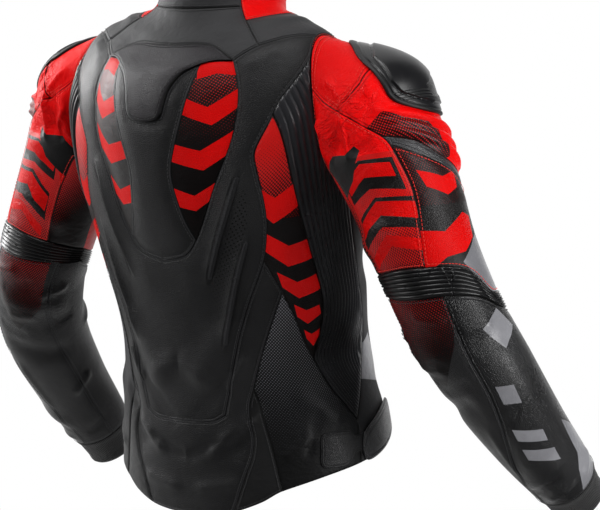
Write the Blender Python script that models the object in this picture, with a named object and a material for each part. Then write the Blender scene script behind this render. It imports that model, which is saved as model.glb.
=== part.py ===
"""A worn motorcycle jacket, cut and sewn from leather, stretch and mesh panels.

The jacket is drawn the way a maker drafts it. Two flat pattern maps are enough:

* the body map (u, v): u runs round the body as a share of its girth, 0 at the centre back
  and 0.5 at the front zip, and v runs down from the neck seam; the collar has negative v;
* the sleeve map (phi, w): phi is the angle round the arm, 0 on the outside and 90 at the
  back, and w runs down the arm from the armhole.

Seams are short tables of points on those maps. The maps are cut along the seams, laid on
the body's form, and each cut piece is given its wall. Only the wearer's left half is
tabulated; the right half is its mirror image. Metres, +Z up, the front faces -Y, and the
origin is on the neck's axis at the height of the seam below the collar.
"""
from math import pi

import bmesh
import bpy
import numpy as np
from mathutils import Matrix, Vector
from mathutils.bvhtree import BVHTree
from mathutils.geometry import delaunay_2d_cdt

# ------------------------------------------------------------------ driving sizes (metres)
CLOTH = 0.0020          # wall of leather with its lining
SEAM = 0.0003           # slit between two pieces that are sewn together
SEAM_STEP = 0.033       # spacing of the points along a seam
LATTICE = 0.035         # spacing of the points inside a piece
HALF_GIRTH = 0.5        # u at the front zip
ZIP_EDGE = 0.488        # u where the fronts stop and the zip begins
COLLAR_TOP = -0.045     # v of the collar's upper edge
CUFF_SEAM = 0.588       # w where the leather stops and the knitted cuff begins
CUFF_END = 0.628        # w of the cuff's open edge
ARC = 0.065 * pi / 180  # metres of sleeve for each degree of phi, near enough to cut by

# ------------------------------------------------------------------ the body's form
# v, side_x, side_y, side_z, back_y, back_z, front_y, front_z, corner
BODY = np.array([
    (-0.045, 0.083, -0.019, 0.034, 0.053, 0.044, -0.092, -0.014, 0.00),
    (0.000, 0.085, -0.021, 0.005, 0.055, 0.000, -0.098, -0.055, 0.00),
    (0.050, 0.127, -0.011, -0.010, 0.076, -0.045, -0.110, -0.100, 0.03),
    (0.100, 0.172, -0.003, -0.029, 0.087, -0.095, -0.119, -0.140, 0.08),
    (0.160, 0.208, -0.003, -0.090, 0.092, -0.155, -0.131, -0.190, 0.11),
    (0.230, 0.204, -0.010, -0.190, 0.094, -0.225, -0.142, -0.240, 0.09),
    (0.310, 0.182, -0.028, -0.300, 0.088, -0.305, -0.154, -0.310, 0.05),
    (0.420, 0.163, -0.052, -0.412, 0.069, -0.415, -0.206, -0.415, 0.03),
    (0.540, 0.181, -0.070, -0.532, 0.055, -0.535, -0.224, -0.532, 0.03),
    (0.660, 0.195, -0.078, -0.652, 0.046, -0.655, -0.230, -0.652, 0.03),
])

# Below the waist the jacket hangs a little lower on the wearer's left: fall for each
# metre across, and the stretch of v over which it sets in.
HEM_TILT, TILT_START, TILT_RUN = 0.060, 0.400, 0.150

# The back protector's hump: v, half width in u, height at the centre.
HUMP = np.array([
    (0.030, 0.070, 0.000),
    (0.052, 0.084, 0.007),
    (0.070, 0.096, 0.019),
    (0.086, 0.100, 0.028),
    (0.110, 0.097, 0.034),
    (0.150, 0.086, 0.034),
    (0.180, 0.077, 0.029),
    (0.216, 0.065, 0.022),
    (0.256, 0.054, 0.014),
    (0.281, 0.046, 0.009),
    (0.309, 0.030, 0.004),
    (0.340, 0.030, 0.000),
])
HUMP_LIP = 0.004        # padded edge of the back panel round the hump
LIP_REACH = 0.030       # how far that padding fades out

# ------------------------------------------------------------------ the arm's form
# The armhole is an oval on the body map.
HOLE_U, HOLE_V = 0.250, 0.165
HOLE_BACK, HOLE_FRONT, HOLE_TOP, HOLE_BOTTOM = 0.082, 0.080, 0.065, 0.075
# On the sleeve map the armhole is the curve of a sleeve head, lowest under the arm.
HEAD_DROP = 0.120       # w of the armhole under the arm; it is 0 at the shoulder's top
BLEND_TOP, BLEND_LOW = 0.065, 0.045     # stretch of sleeve that leads into the arm's rings
HOLE_ANGLES = (-180, -162, -145, -128, -112, -97, -86, -75, -60, -45, -30, -15, 0,
               15, 30, 45, 60, 75, 88, 103, 117, 131, 145, 162, 180)

# The two arms are held a little differently.
# w, centre's distance from the middle, y, z, radius to the outside, radius to the back
LEFT_ARM = np.array([
    (0.065, 0.221, -0.012, -0.120, 0.067, 0.073),
    (0.150, 0.258, -0.019, -0.200, 0.064, 0.068),
    (0.240, 0.302, -0.023, -0.287, 0.061, 0.062),
    (0.310, 0.338, -0.034, -0.354, 0.060, 0.060),
    (0.400, 0.374, -0.070, -0.436, 0.061, 0.058),
    (0.500, 0.386, -0.130, -0.524, 0.053, 0.052),
    (0.588, 0.378, -0.186, -0.603, 0.043, 0.044),
    (0.650, 0.372, -0.224, -0.660, 0.034, 0.035),
])
RIGHT_ARM = np.array([
    (0.065, 0.234, -0.012, -0.119, 0.075, 0.078),
    (0.150, 0.275, -0.020, -0.200, 0.067, 0.070),
    (0.240, 0.309, -0.025, -0.285, 0.061, 0.063),
    (0.310, 0.336, -0.037, -0.350, 0.060, 0.060),
    (0.400, 0.363, -0.078, -0.429, 0.059, 0.056),
    (0.500, 0.380, -0.142, -0.508, 0.049, 0.050),
    (0.588, 0.392, -0.202, -0.571, 0.041, 0.042),
    (0.650, 0.396, -0.246, -0.617, 0.034, 0.035),
])
ARMS = {1: LEFT_ARM, -1: RIGHT_ARM}

# ------------------------------------------------------------------ relief
# Embossed darts of the back panel, raised welts: u and v at the top, u and v at the bottom.
DARTS = ((0.086, 0.199, 0.052, 0.340), (0.100, 0.269, 0.066, 0.423))
DART_HALF, DART_RISE = 0.006, 0.0025

# The stretch panel's accordion ribs run between two edges: v, left u, right u.
STRETCH = np.array([
    (0.110, 0.116, 0.196),
    (0.147, 0.120, 0.171),
    (0.170, 0.126, 0.169),
    (0.195, 0.133, 0.178),
    (0.220, 0.143, 0.197),
    (0.244, 0.152, 0.238),
    (0.275, 0.168, 0.268),
    (0.312, 0.190, 0.292),
    (0.355, 0.211, 0.313),
    (0.388, 0.209, 0.317),
    (0.430, 0.190, 0.301),
    (0.476, 0.212, 0.275),
    (0.522, 0.246, 0.248),
])
STRETCH_RIBS, STRETCH_RISE = 7, 0.0012

# The padded ribs below the shoulder: w at phi 46, -2, -38 and -66.
SHOULDER_RIBS = ((0.078, 0.106, 0.121, 0.128),
                 (0.088, 0.119, 0.136, 0.145),
                 (0.097, 0.131, 0.150, 0.160))
RIB_PHI = (46, -2, -38, -66)
RIB_RISE, RIB_HALF = 0.0065, 0.0060

# The elbow's accordion band: phi, w of its upper edge, w of its lower edge.
ELBOW = np.array([
    (-180, 0.247, 0.266),
    (-140, 0.268, 0.292),
    (-115, 0.288, 0.312),
    (-90, 0.304, 0.332),
    (-62, 0.312, 0.340),
    (-36, 0.311, 0.334),
    (-14, 0.304, 0.321),
    (4, 0.279, 0.306),
    (20, 0.266, 0.297),
    (50, 0.254, 0.286),
    (57, 0.252, 0.284),
    (85, 0.244, 0.278),
    (129, 0.240, 0.268),
    (150, 0.241, 0.266),
    (180, 0.247, 0.266),
])
ELBOW_RIBS, ELBOW_RISE = 3, 0.0013
TEETH_HALF, TEETH_RISE = 0.0045, 0.0015   # u and height of the zip's raised chain

# Shoulder padding under the hard cup: centre phi and w, reach, height.
CUP_PAD = (-20, 0.055, 0.046, 0.003)

# Large soft folds: ends of the fold's line on its map, half width, height.
BODY_FOLDS = (
    (0.020, 0.470, 0.085, 0.380, 0.020, 0.0035),
    (0.064, 0.560, 0.104, 0.470, 0.014, -0.0040),
    (0.150, 0.470, 0.215, 0.520, 0.018, 0.0040),
    (0.330, 0.330, 0.430, 0.430, 0.024, 0.0050),
    (0.340, 0.500, 0.450, 0.440, 0.022, -0.0050),
)
SLEEVE_FOLDS = (
    (60, 0.030, 112, 0.105, 0.011, -0.0055),
    (84, 0.022, 122, 0.082, 0.010, 0.0045),
    (62, 0.115, 100, 0.085, 0.010, -0.0040),
    (150, 0.215, 60, 0.190, 0.012, 0.0040),
    (-150, 0.300, -70, 0.255, 0.014, 0.0050),
    (-150, 0.352, -85, 0.380, 0.020, -0.0030),
    (170, 0.330, 70, 0.335, 0.012, 0.0040),
    (165, 0.420, 75, 0.395, 0.014, -0.0040),
    (20, 0.520, 110, 0.545, 0.012, 0.0030),
)

# ------------------------------------------------------------------ seams on the body map
# Points that several seams share.
HUMP_CORNER, SPINE_TOP, SPINE_FOOT = (0.098, 0.086), (0.064, 0.083), (0.044, 0.281)
YOKE_TOP, YOKE_FOOT = (0.144, 0.029), (0.136, 0.078)
SHARD_TOP, BAND_TOP, BACK_FOOT = (0.120, 0.157), (0.121, 0.305), (0.058, 0.503)
MESH_TOP, MESH_CORNER = (0.146, 0.342), (0.100, 0.466)
SHARD_FOOT, STRETCH_FOOT = (0.190, 0.430), (0.247, 0.522)
HEM_TAIL, HEM_MESH, HEM_SIDE = (0.057, 0.627), (0.116, 0.600), (0.240, 0.576)
HEM_FRONT, HEM_ZIP = (0.356, 0.565), (ZIP_EDGE, 0.556)
SHOULDER_TOP = (0.300, 0.030)


def hole_point(phi):
    """The body-map point of the armhole at the sleeve angle phi, in degrees."""
    c, s = np.cos(np.radians(phi)), np.sin(np.radians(phi))
    u = HOLE_U - np.where(s > 0, HOLE_BACK, HOLE_FRONT) * s
    v = HOLE_V - np.where(c > 0, HOLE_TOP, HOLE_BOTTOM) * c
    return float(u), float(v)


def sleeve_head(phi):
    """w of the armhole on the sleeve map at the angle phi."""
    return HEAD_DROP * (0.5 - 0.5 * np.cos(np.radians(phi))) ** 3


def head_point(phi):
    """The armhole's point on the sleeve map."""
    return phi, float(sleeve_head(phi))


BODY_SEAMS = (
    [(0, COLLAR_TOP), (0, 0), (0, 0.050), (0, 0.141), (0, 0.309), (0, 0.514), (0, 0.634)],
    [(0, COLLAR_TOP), (0.150, COLLAR_TOP), (ZIP_EDGE, COLLAR_TOP), (0.5, COLLAR_TOP)],
    [(0, 0), (0.150, 0)],
    [(0.150, COLLAR_TOP), (0.150, 0), YOKE_TOP],
    [YOKE_TOP, (0.220, 0.030), SHOULDER_TOP, (0.400, 0.030), (ZIP_EDGE, 0.030)],
    [YOKE_TOP, YOKE_FOOT],
    [(0, 0.050), (0.054, 0.052), (0.082, 0.062), HUMP_CORNER],
    [HUMP_CORNER, (0.116, 0.081), YOKE_FOOT, (0.178, 0.084), hole_point(15)],
    [SHOULDER_TOP, (0.296, 0.070), hole_point(-30)],
    [HUMP_CORNER, (0.094, 0.118), (0.085, 0.150), (0.075, 0.183), (0.064, 0.216),
     (0.053, 0.256), SPINE_FOOT, (0.030, 0.300), (0, 0.309)],
    [HUMP_CORNER, (0.080, 0.082), SPINE_TOP],
    [SPINE_TOP, (0.044, 0.090), (0.030, 0.106), (0.025, 0.120), (0.018, 0.137), (0, 0.141)],
    [SPINE_TOP, (0.049, 0.118), (0.032, 0.170), (0.026, 0.200), (0.029, 0.232),
     (0.036, 0.262), SPINE_FOOT],
    [hole_point(45), (0.160, 0.131), (0.134, 0.143), SHARD_TOP, (0.101, 0.188),
     (0.105, 0.212), (0.114, 0.240), (0.121, 0.270), BAND_TOP, (0.105, 0.354),
     (0.092, 0.394), (0.074, 0.454), BACK_FOOT],
    [BACK_FOOT, (0.040, 0.512), (0, 0.514)],
    [SHARD_TOP, (0.132, 0.192), (0.152, 0.244), (0.178, 0.290), (0.196, 0.320),
     (0.211, 0.355), (0.209, 0.388), SHARD_FOOT],
    [BAND_TOP, MESH_TOP, (0.166, 0.378), (0.178, 0.408), SHARD_FOOT],
    [MESH_TOP, (0.132, 0.382), (0.110, 0.440), MESH_CORNER],
    [MESH_CORNER, (0.104, 0.500), (0.110, 0.548), HEM_MESH],
    [MESH_CORNER, (0.090, 0.488), (0.087, 0.510), (0.089, 0.532), (0.085, 0.555),
     (0.074, 0.582), HEM_TAIL],
    [SHARD_FOOT, (0.212, 0.476), STRETCH_FOOT],
    [STRETCH_FOOT, (0.244, 0.548), HEM_SIDE],
    [hole_point(180), (0.268, 0.275), (0.292, 0.312), (0.313, 0.355), (0.317, 0.388),
     (0.302, 0.428), (0.277, 0.474), STRETCH_FOOT],
    [hole_point(-128), (0.335, 0.262), (0.368, 0.330), (0.380, 0.400), (0.374, 0.470),
     (0.362, 0.530), HEM_FRONT],
    [hole_point(-60), (0.360, 0.145), (0.420, 0.155), (ZIP_EDGE, 0.150)],
    [(ZIP_EDGE, COLLAR_TOP), (ZIP_EDGE, 0.030), (ZIP_EDGE, 0.150), HEM_ZIP],
    [(0.5, COLLAR_TOP), (0.5, 0.030), (0.5, 0.150), (0.5, 0.5555)],
    [(0, 0.634), (0.030, 0.632), HEM_TAIL, (0.090, 0.614), HEM_MESH, (0.175, 0.585),
     HEM_SIDE, (0.300, 0.570), HEM_FRONT, (0.420, 0.560), HEM_ZIP, (0.5, 0.5555)],
)

# A point inside each piece says which one it is.
BODY_PIECES = (
    ("collar_back", 0.070, -0.020), ("collar_side", 0.300, 0.000),
    ("yoke_back", 0.060, 0.025), ("yoke_side", 0.200, 0.060),
    ("front_chest", 0.420, 0.090), ("hump_cap", 0.020, 0.080),
    ("hump_spine", 0.012, 0.220), ("hump_window", 0.060, 0.160),
    ("back_harness", 0.130, 0.110), ("back_lower", 0.020, 0.570),
    ("side_tail", 0.096, 0.560), ("side_mesh", 0.150, 0.450),
    ("side_shard", 0.125, 0.250), ("side_stretch", 0.220, 0.330),
    ("front_side", 0.330, 0.450), ("front_body", 0.430, 0.350),
    ("front_zip", 0.494, 0.300),
)
CENTRE_PIECES = ("collar_back", "yoke_back", "hump_cap", "hump_spine", "back_harness",
                 "back_lower", "front_zip")

# The waist's adjuster lies on the panels: a base with its elastic strap, then the tab.
WAIST_BASE = ((0.176, 0.534), (0.200, 0.531), (0.224, 0.533), (0.231, 0.540),
              (0.266, 0.540), (0.266, 0.561), (0.229, 0.562), (0.216, 0.574),
              (0.190, 0.577), (0.170, 0.572), (0.171, 0.552))
WAIST_TAB = ((0.251, 0.540), (0.276, 0.527), (0.310, 0.514), (0.338, 0.508),
             (0.348, 0.519), (0.346, 0.545), (0.330, 0.555), (0.288, 0.568),
             (0.250, 0.574), (0.243, 0.560))

# ------------------------------------------------------------------ seams on the sleeve map
SHORT_END, RIB_END, BAND_END = (78, 0.056), (51, 0.104), (47, 0.116)
FRONT_SHORT, FRONT_RIB, FRONT_BAND = (-78, 0.075), (-67, 0.172), (-66, 0.186)


def elbow_edge(column, angles):
    """Points of the elbow band's edge at the given angles."""
    return [(a, float(np.interp(a, ELBOW[:, 0], ELBOW[:, column]))) for a in angles]


def elbow_point(column, angle):
    """One point of the elbow band's edge."""
    return elbow_edge(column, (angle,))[0]


SLEEVE_SEAMS = (
    [head_point(75), (79, 0.032), SHORT_END, (64, 0.083), RIB_END, BAND_END, (44, 0.165),
     (50, 0.215), elbow_point(1, 57)],
    [head_point(-75), (-80, 0.037), FRONT_SHORT, (-70, 0.120), FRONT_RIB, FRONT_BAND,
     (-64, 0.245), elbow_point(1, -62)],
    [SHORT_END, (50, 0.050), (22, 0.044), (-10, 0.050), (-45, 0.066), FRONT_SHORT],
    [RIB_END, (26, 0.119), (-2, 0.143), (-38, 0.163), FRONT_RIB],
    [BAND_END, (18, 0.140), (-8, 0.158), (-30, 0.174), FRONT_BAND],
    [head_point(145), (136, 0.104), (129, 0.128), (126, 0.160), (127, 0.200),
     elbow_point(1, 129)],
    [head_point(-145), (-122, 0.103), (-107, 0.122), (-103, 0.160), (-108, 0.210),
     elbow_point(1, -115)],
    elbow_edge(1, ELBOW[:, 0]),
    elbow_edge(2, ELBOW[:, 0]),
    [elbow_point(2, 50), (50, 0.310), (52, 0.355), (54, 0.393), (60, 0.425), (70, 0.458),
     (86, 0.503), (97, 0.550), (101, CUFF_SEAM)],
    [elbow_point(2, 150), (141, 0.330), (150, 0.400), (156, 0.460), (158, 0.530),
     (158, CUFF_SEAM)],
    [elbow_point(2, -62), (-68, 0.400), (-76, 0.470), (-82, 0.530), (-86, CUFF_SEAM)],
    [(a, CUFF_SEAM) for a in (-180, -133, -86, -40, 6, 54, 101, 130, 158, 180)],
    [(a, CUFF_END) for a in (-180, -133, -86, -40, 6, 54, 101, 130, 158, 180)],
    [head_point(-180), (-180, 0.247), (-180, 0.266), (-180, CUFF_SEAM), (-180, CUFF_END)],
    [head_point(180), (180, 0.247), (180, 0.266), (180, CUFF_SEAM), (180, CUFF_END)],
)

SLEEVE_PIECES = (
    ("sleeve_cap", 0, 0.020), ("sleeve_ribs", 0, 0.110), ("sleeve_band", -5, 0.150),
    ("sleeve_outer", 0, 0.220), ("sleeve_back", 75, 0.170), ("sleeve_front", -85, 0.200),
    ("sleeve_gusset", 170, 0.180), ("sleeve_gusset", -170, 0.180),
    ("elbow_band", 90, 0.260), ("forearm_back", 100, 0.400), ("forearm_outer", 0, 0.450),
    ("forearm_inner", 170, 0.450), ("forearm_inner", -130, 0.450), ("cuff_knit", 0, 0.610),
)

# The hard shoulder cup's outline.
CUP = ((32, 0.062), (27, 0.036), (10, 0.022), (-14, 0.013), (-40, 0.018), (-58, 0.035),
       (-64, 0.060), (-60, 0.086), (-44, 0.101), (-14, 0.100), (9, 0.091), (27, 0.077))

# ------------------------------------------------------------------ overlays
# name, its map, outline, clearance above the panels, thickness at the edge and inside
OVERLAYS = (
    ("shoulder_cup", "sleeve", CUP, 0.0003, 0.0030, 0.0060),
    ("waist_base", "body", WAIST_BASE, 0.0003, 0.0015, 0.0020),
    ("waist_tab", "body", WAIST_TAB, 0.0030, 0.0020, 0.0028),
)

# ------------------------------------------------------------------ zip slider and pull tab
SLIDER_V = -0.0075                              # place of the slider on the zip
SLIDER_SIZE = (0.0090, 0.0040, 0.0110)          # width, depth, height
PULL_SIZE = (0.0070, 0.0016, 0.0280)
PULL_PIN = (0.0018, 0.0110)                     # diameter and length of the pin

# ------------------------------------------------------------------ materials
# name, colour as linear red, green, blue, roughness, metallic
FINISHES = {
    "leather_black": (0.026, 0.026, 0.028, 0.45, 0.0),
    "leather_red": (0.820, 0.022, 0.020, 0.40, 0.0),
    "print": (0.350, 0.012, 0.010, 0.50, 0.0),
    "stretch": (0.013, 0.013, 0.014, 0.65, 0.0),
    "mesh": (0.030, 0.030, 0.032, 0.70, 0.0),
    "softshell": (0.014, 0.014, 0.015, 0.75, 0.0),
    "grey_coat": (0.120, 0.120, 0.125, 0.50, 0.0),
    "hard_cup": (0.020, 0.020, 0.022, 0.35, 0.0),
    "knit": (0.010, 0.010, 0.011, 0.85, 0.0),
    "zip_metal": (0.080, 0.080, 0.085, 0.35, 0.9),
}
PIECE_FINISH = {
    "collar_back": "softshell", "collar_side": "leather_red", "yoke_back": "softshell",
    "yoke_side": "leather_black", "front_chest": "leather_red", "hump_cap": "leather_black",
    "hump_spine": "leather_black", "hump_window": "print", "back_harness": "leather_black",
    "back_lower": "leather_black", "side_tail": "leather_black", "side_mesh": "mesh",
    "side_shard": "print", "side_stretch": "stretch", "front_side": "softshell",
    "front_body": "leather_black", "front_zip": "zip_metal", "sleeve_cap": "leather_red",
    "sleeve_ribs": "leather_red", "sleeve_band": "grey_coat", "sleeve_outer": "print",
    "sleeve_back": "leather_red", "sleeve_front": "leather_red", "sleeve_gusset": "stretch",
    "elbow_band": "stretch", "forearm_back": "leather_black",
    "forearm_outer": "leather_black", "forearm_inner": "leather_black",
    "cuff_knit": "knit", "shoulder_cup": "hard_cup", "waist_base": "softshell",
    "waist_tab": "grey_coat", "zip_slider": "zip_metal", "zip_pull": "zip_metal",
}


# ------------------------------------------------------------------ curves and tables
def curve_through(table, x):
    """Columns 1.. of a table as smooth functions of its column 0, at every x."""
    knots, values = table[:, 0], table[:, 1:]
    slopes = np.gradient(values, knots, axis=0)
    x = np.clip(np.asarray(x, float), knots[0], knots[-1])
    i = np.clip(np.searchsorted(knots, x, side="right") - 1, 0, len(knots) - 2)
    h = (knots[i + 1] - knots[i])[..., None]
    t = (x[..., None] - knots[i][..., None]) / h
    return ((2 * t**3 - 3 * t**2 + 1) * values[i] + (t**3 - 2 * t**2 + t) * h * slopes[i]
            + (3 * t**2 - 2 * t**3) * values[i + 1] + (t**3 - t**2) * h * slopes[i + 1])


def smooth_line(points, step, closed=False):
    """A Catmull-Rom line through the points that keeps each of them as a vertex."""
    p = np.array(points, float)
    before = p[-1] if closed else 2 * p[0] - p[1]
    after = [p[0], p[1]] if closed else [2 * p[-1] - p[-2]]
    p = np.vstack([before, p, *after])
    line = []
    for a, b, c, d in zip(p, p[1:], p[2:], p[3:]):
        n = max(1, round(float(np.linalg.norm(c - b)) / step))
        ta = 0.5 * (c - a) * min(1, 2 * np.linalg.norm(c - b) / np.linalg.norm(c - a))
        tb = 0.5 * (d - b) * min(1, 2 * np.linalg.norm(c - b) / np.linalg.norm(d - b))
        for k in range(n):
            t = k / n
            line.append((2 * t**3 - 3 * t**2 + 1) * b + (t**3 - 2 * t**2 + t) * ta
                        + (3 * t**2 - 2 * t**3) * c + (t**3 - t**2) * tb)
    return line if closed else line + [p[-2]]


def bump(distance, half):
    """A soft hill of height 1 that fades out at about twice its half width."""
    return np.exp(-np.square(distance / half))


def fold_height(a, b, folds, scale=1.0):
    """The sum of the soft folds at map points (a, b), with a in units of scale metres."""
    total = np.zeros(np.broadcast(a, b).shape)
    for a0, b0, a1, b1, half, height in folds:
        start = np.array([a0 * scale, b0])
        run = np.array([a1 * scale, b1]) - start
        length = np.linalg.norm(run)
        x, y = a * scale - start[0], b - start[1]
        along = (x * run[0] + y * run[1]) / length**2
        across = (x * run[1] - y * run[0]) / length
        fade = np.clip(np.minimum(along, 1 - along) * 4 + 0.25, 0, 1)
        total += height * bump(across, half) * fade * fade * (3 - 2 * fade)
    return total


# ------------------------------------------------------------------ the two surfaces
def body_point(u, v, side=1):
    """The body map's half laid on the form, without relief; side -1 is the right half."""
    sx, sy, sz, by, bz, fy, fz, k = np.moveaxis(curve_through(BODY, v), -1, 0)
    angle = pi * np.asarray(u, float) / HALF_GIRTH
    c, s = np.cos(angle), np.sin(angle)
    swell = 1 + k * np.sin(2 * angle) ** 2
    x = sx * s * swell
    y = sy + np.where(c > 0, (by - sy) * c, (sy - fy) * c) * swell
    z = sz + np.where(c > 0, bz - sz, fz - sz) * c * c
    t = np.clip((v - TILT_START) / TILT_RUN, 0, 1)
    z -= side * HEM_TILT * x * t * t * (3 - 2 * t)
    return np.stack([x, y, z], -1)


def arm_ring(phi, w, side):
    """A point of the arm below the shoulder, at the angle phi in degrees."""
    arm = ARMS[side]

    def centre(w):
        return curve_through(arm, w)[..., :3]
    e = 1e-3
    along = centre(np.minimum(w + e, arm[-1, 0])) - centre(np.maximum(w - e, arm[0, 0]))
    along /= np.linalg.norm(along, axis=-1, keepdims=True)
    out = np.array([1.0, 0, 0]) - along[..., :1] * along
    out /= np.linalg.norm(out, axis=-1, keepdims=True)
    back = np.cross(along, out)
    back *= np.where(back[..., 1:2] < 0, -1, 1)
    radii = curve_through(arm, w)[..., 3:]
    a = np.radians(phi)[..., None]
    return centre(w) + out * radii[..., :1] * np.cos(a) + back * radii[..., 1:] * np.sin(a)


def sleeve_point(phi, w, side):
    """The sleeve map laid on the form, without relief; it starts on the armhole.

    Both arms are worked out on the left; side is 1 for the left arm, -1 for the right.
    """
    phi, w = np.broadcast_arrays(np.asarray(phi, float), np.asarray(w, float))
    c, s = np.cos(np.radians(phi)), np.sin(np.radians(phi))
    hole = body_point(HOLE_U - np.where(s > 0, HOLE_BACK, HOLE_FRONT) * s,
                      HOLE_V - np.where(c > 0, HOLE_TOP, HOLE_BOTTOM) * c)
    under = (0.5 - 0.5 * c) ** 3
    head = HEAD_DROP * under
    length = BLEND_TOP + (BLEND_LOW - BLEND_TOP) * under
    ring = arm_ring(phi, head + length, side)
    chord = ring - hole
    slope = arm_ring(phi, head + length + 1e-3, side) - ring
    slope *= (np.linalg.norm(chord, axis=-1) / np.linalg.norm(slope, axis=-1))[..., None]
    t = np.clip((w - head) / length, 0, 1)[..., None]
    blend = ((2 * t**3 - 3 * t**2 + 1) * hole + (t**3 - 2 * t**2 + t) * chord
             + (3 * t**2 - 2 * t**3) * ring + (t**3 - t**2) * slope)
    return np.where(t < 1, blend, arm_ring(phi, np.maximum(w, head + length), side))


def body_relief(u, v):
    """Height of the body's panels above the form: the hump, its padding and the folds."""
    half, height = np.moveaxis(curve_through(HUMP, v), -1, 0)
    inside = (v > HUMP[0, 0]) & (v < HUMP[-1, 0])
    share = np.abs(u) / half
    h = np.where(inside, height * (1 - np.clip(share, 0, 1) ** 2.4) ** 1.2, 0)
    beyond = np.hypot(np.maximum(np.abs(u) - half, 0), np.maximum(v - 0.309, 0))
    lip = HUMP_LIP * np.minimum(share**2, 1) * bump(beyond, LIP_REACH)
    h += lip * np.clip((v - 0.055) / 0.03, 0, 1)
    hole = np.hypot((u - HOLE_U) / HOLE_BACK, (v - HOLE_V) / HOLE_BOTTOM)
    return h + fold_height(u, v, BODY_FOLDS) * np.clip((hole - 1) * 2, 0, 1)


def body_ribs(u, v):
    """Extra height of the outer face inside a piece: accordion ribs, darts, zip chain."""
    left, right = np.moveaxis(curve_through(STRETCH, v), -1, 0)
    phase = 2 * pi * STRETCH_RIBS * (u - left) / (right - left)
    darts = [(*line, DART_HALF * 0.6, DART_RISE) for line in DARTS]
    chain = (u > 0.5 - TEETH_HALF / 2) & (v > COLLAR_TOP + 0.001) & (v < 0.554)
    return {"side_stretch": STRETCH_RISE * (0.4 - np.cos(phase)),
            "back_harness": fold_height(u, v, darts),
            "front_zip": TEETH_RISE * chain}


def sleeve_relief(phi, w):
    """Height of the sleeve's panels above the form: shoulder padding, folds, cuff."""
    phi0, w0, reach, rise = CUP_PAD
    start = np.clip((w - sleeve_head(phi)) / 0.03, 0, 1)
    h = rise * bump(np.hypot((phi - phi0) * ARC, w - w0), reach) * start
    top, low = np.moveaxis(curve_through(ELBOW, phi), -1, 0)
    clear = np.clip(np.maximum(top - w, w - low) / 0.02, 0, 1)
    h += fold_height(phi, w, SLEEVE_FOLDS, ARC) * start * clear
    return h - 0.0025 * np.clip((w - CUFF_SEAM) / 0.008, 0, 1)


def rib_crest(row, phi):
    """w of a shoulder rib's crest at the angle phi."""
    return np.interp(-phi, [-p for p in RIB_PHI], row)


def sleeve_ribs(phi, w):
    """Extra height of the outer face inside a piece: shoulder ribs and elbow ribs."""
    fade = np.clip(np.minimum(50 - phi, phi + 68) / 14, 0, 1)
    swell = sum(bump(w - rib_crest(row, phi), RIB_HALF * 0.75) for row in SHOULDER_RIBS)
    top, low = np.moveaxis(curve_through(ELBOW, phi), -1, 0)
    phase = 2 * pi * ELBOW_RIBS * (w - top) / (low - top)
    return {"sleeve_ribs": RIB_RISE * swell * fade,
            "elbow_band": ELBOW_RISE * (0.4 - np.cos(phase))}


# Each map: its surface, its relief, its ribs, metres for one unit of its first
# coordinate, and +1 if a counter-clockwise triangle on it faces out.
MAPS = {
    "body": (body_point, body_relief, body_ribs, 1.0, 1),
    "sleeve": (sleeve_point, sleeve_relief, sleeve_ribs, ARC, -1),
}


def lay(which, a, b, height, side):
    """Map points on their surface, moved out along its normal by the height."""
    surface, _, _, scale, turn = MAPS[which]
    e = 1e-4
    along = surface(a + e / scale, b, side) - surface(a - e / scale, b, side)
    down = surface(a, b + e, side) - surface(a, b - e, side)
    normal = np.cross(along, down) * turn
    normal /= np.maximum(np.linalg.norm(normal, axis=-1, keepdims=True), 1e-12)
    return surface(a, b, side) + normal * height[..., None]


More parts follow.
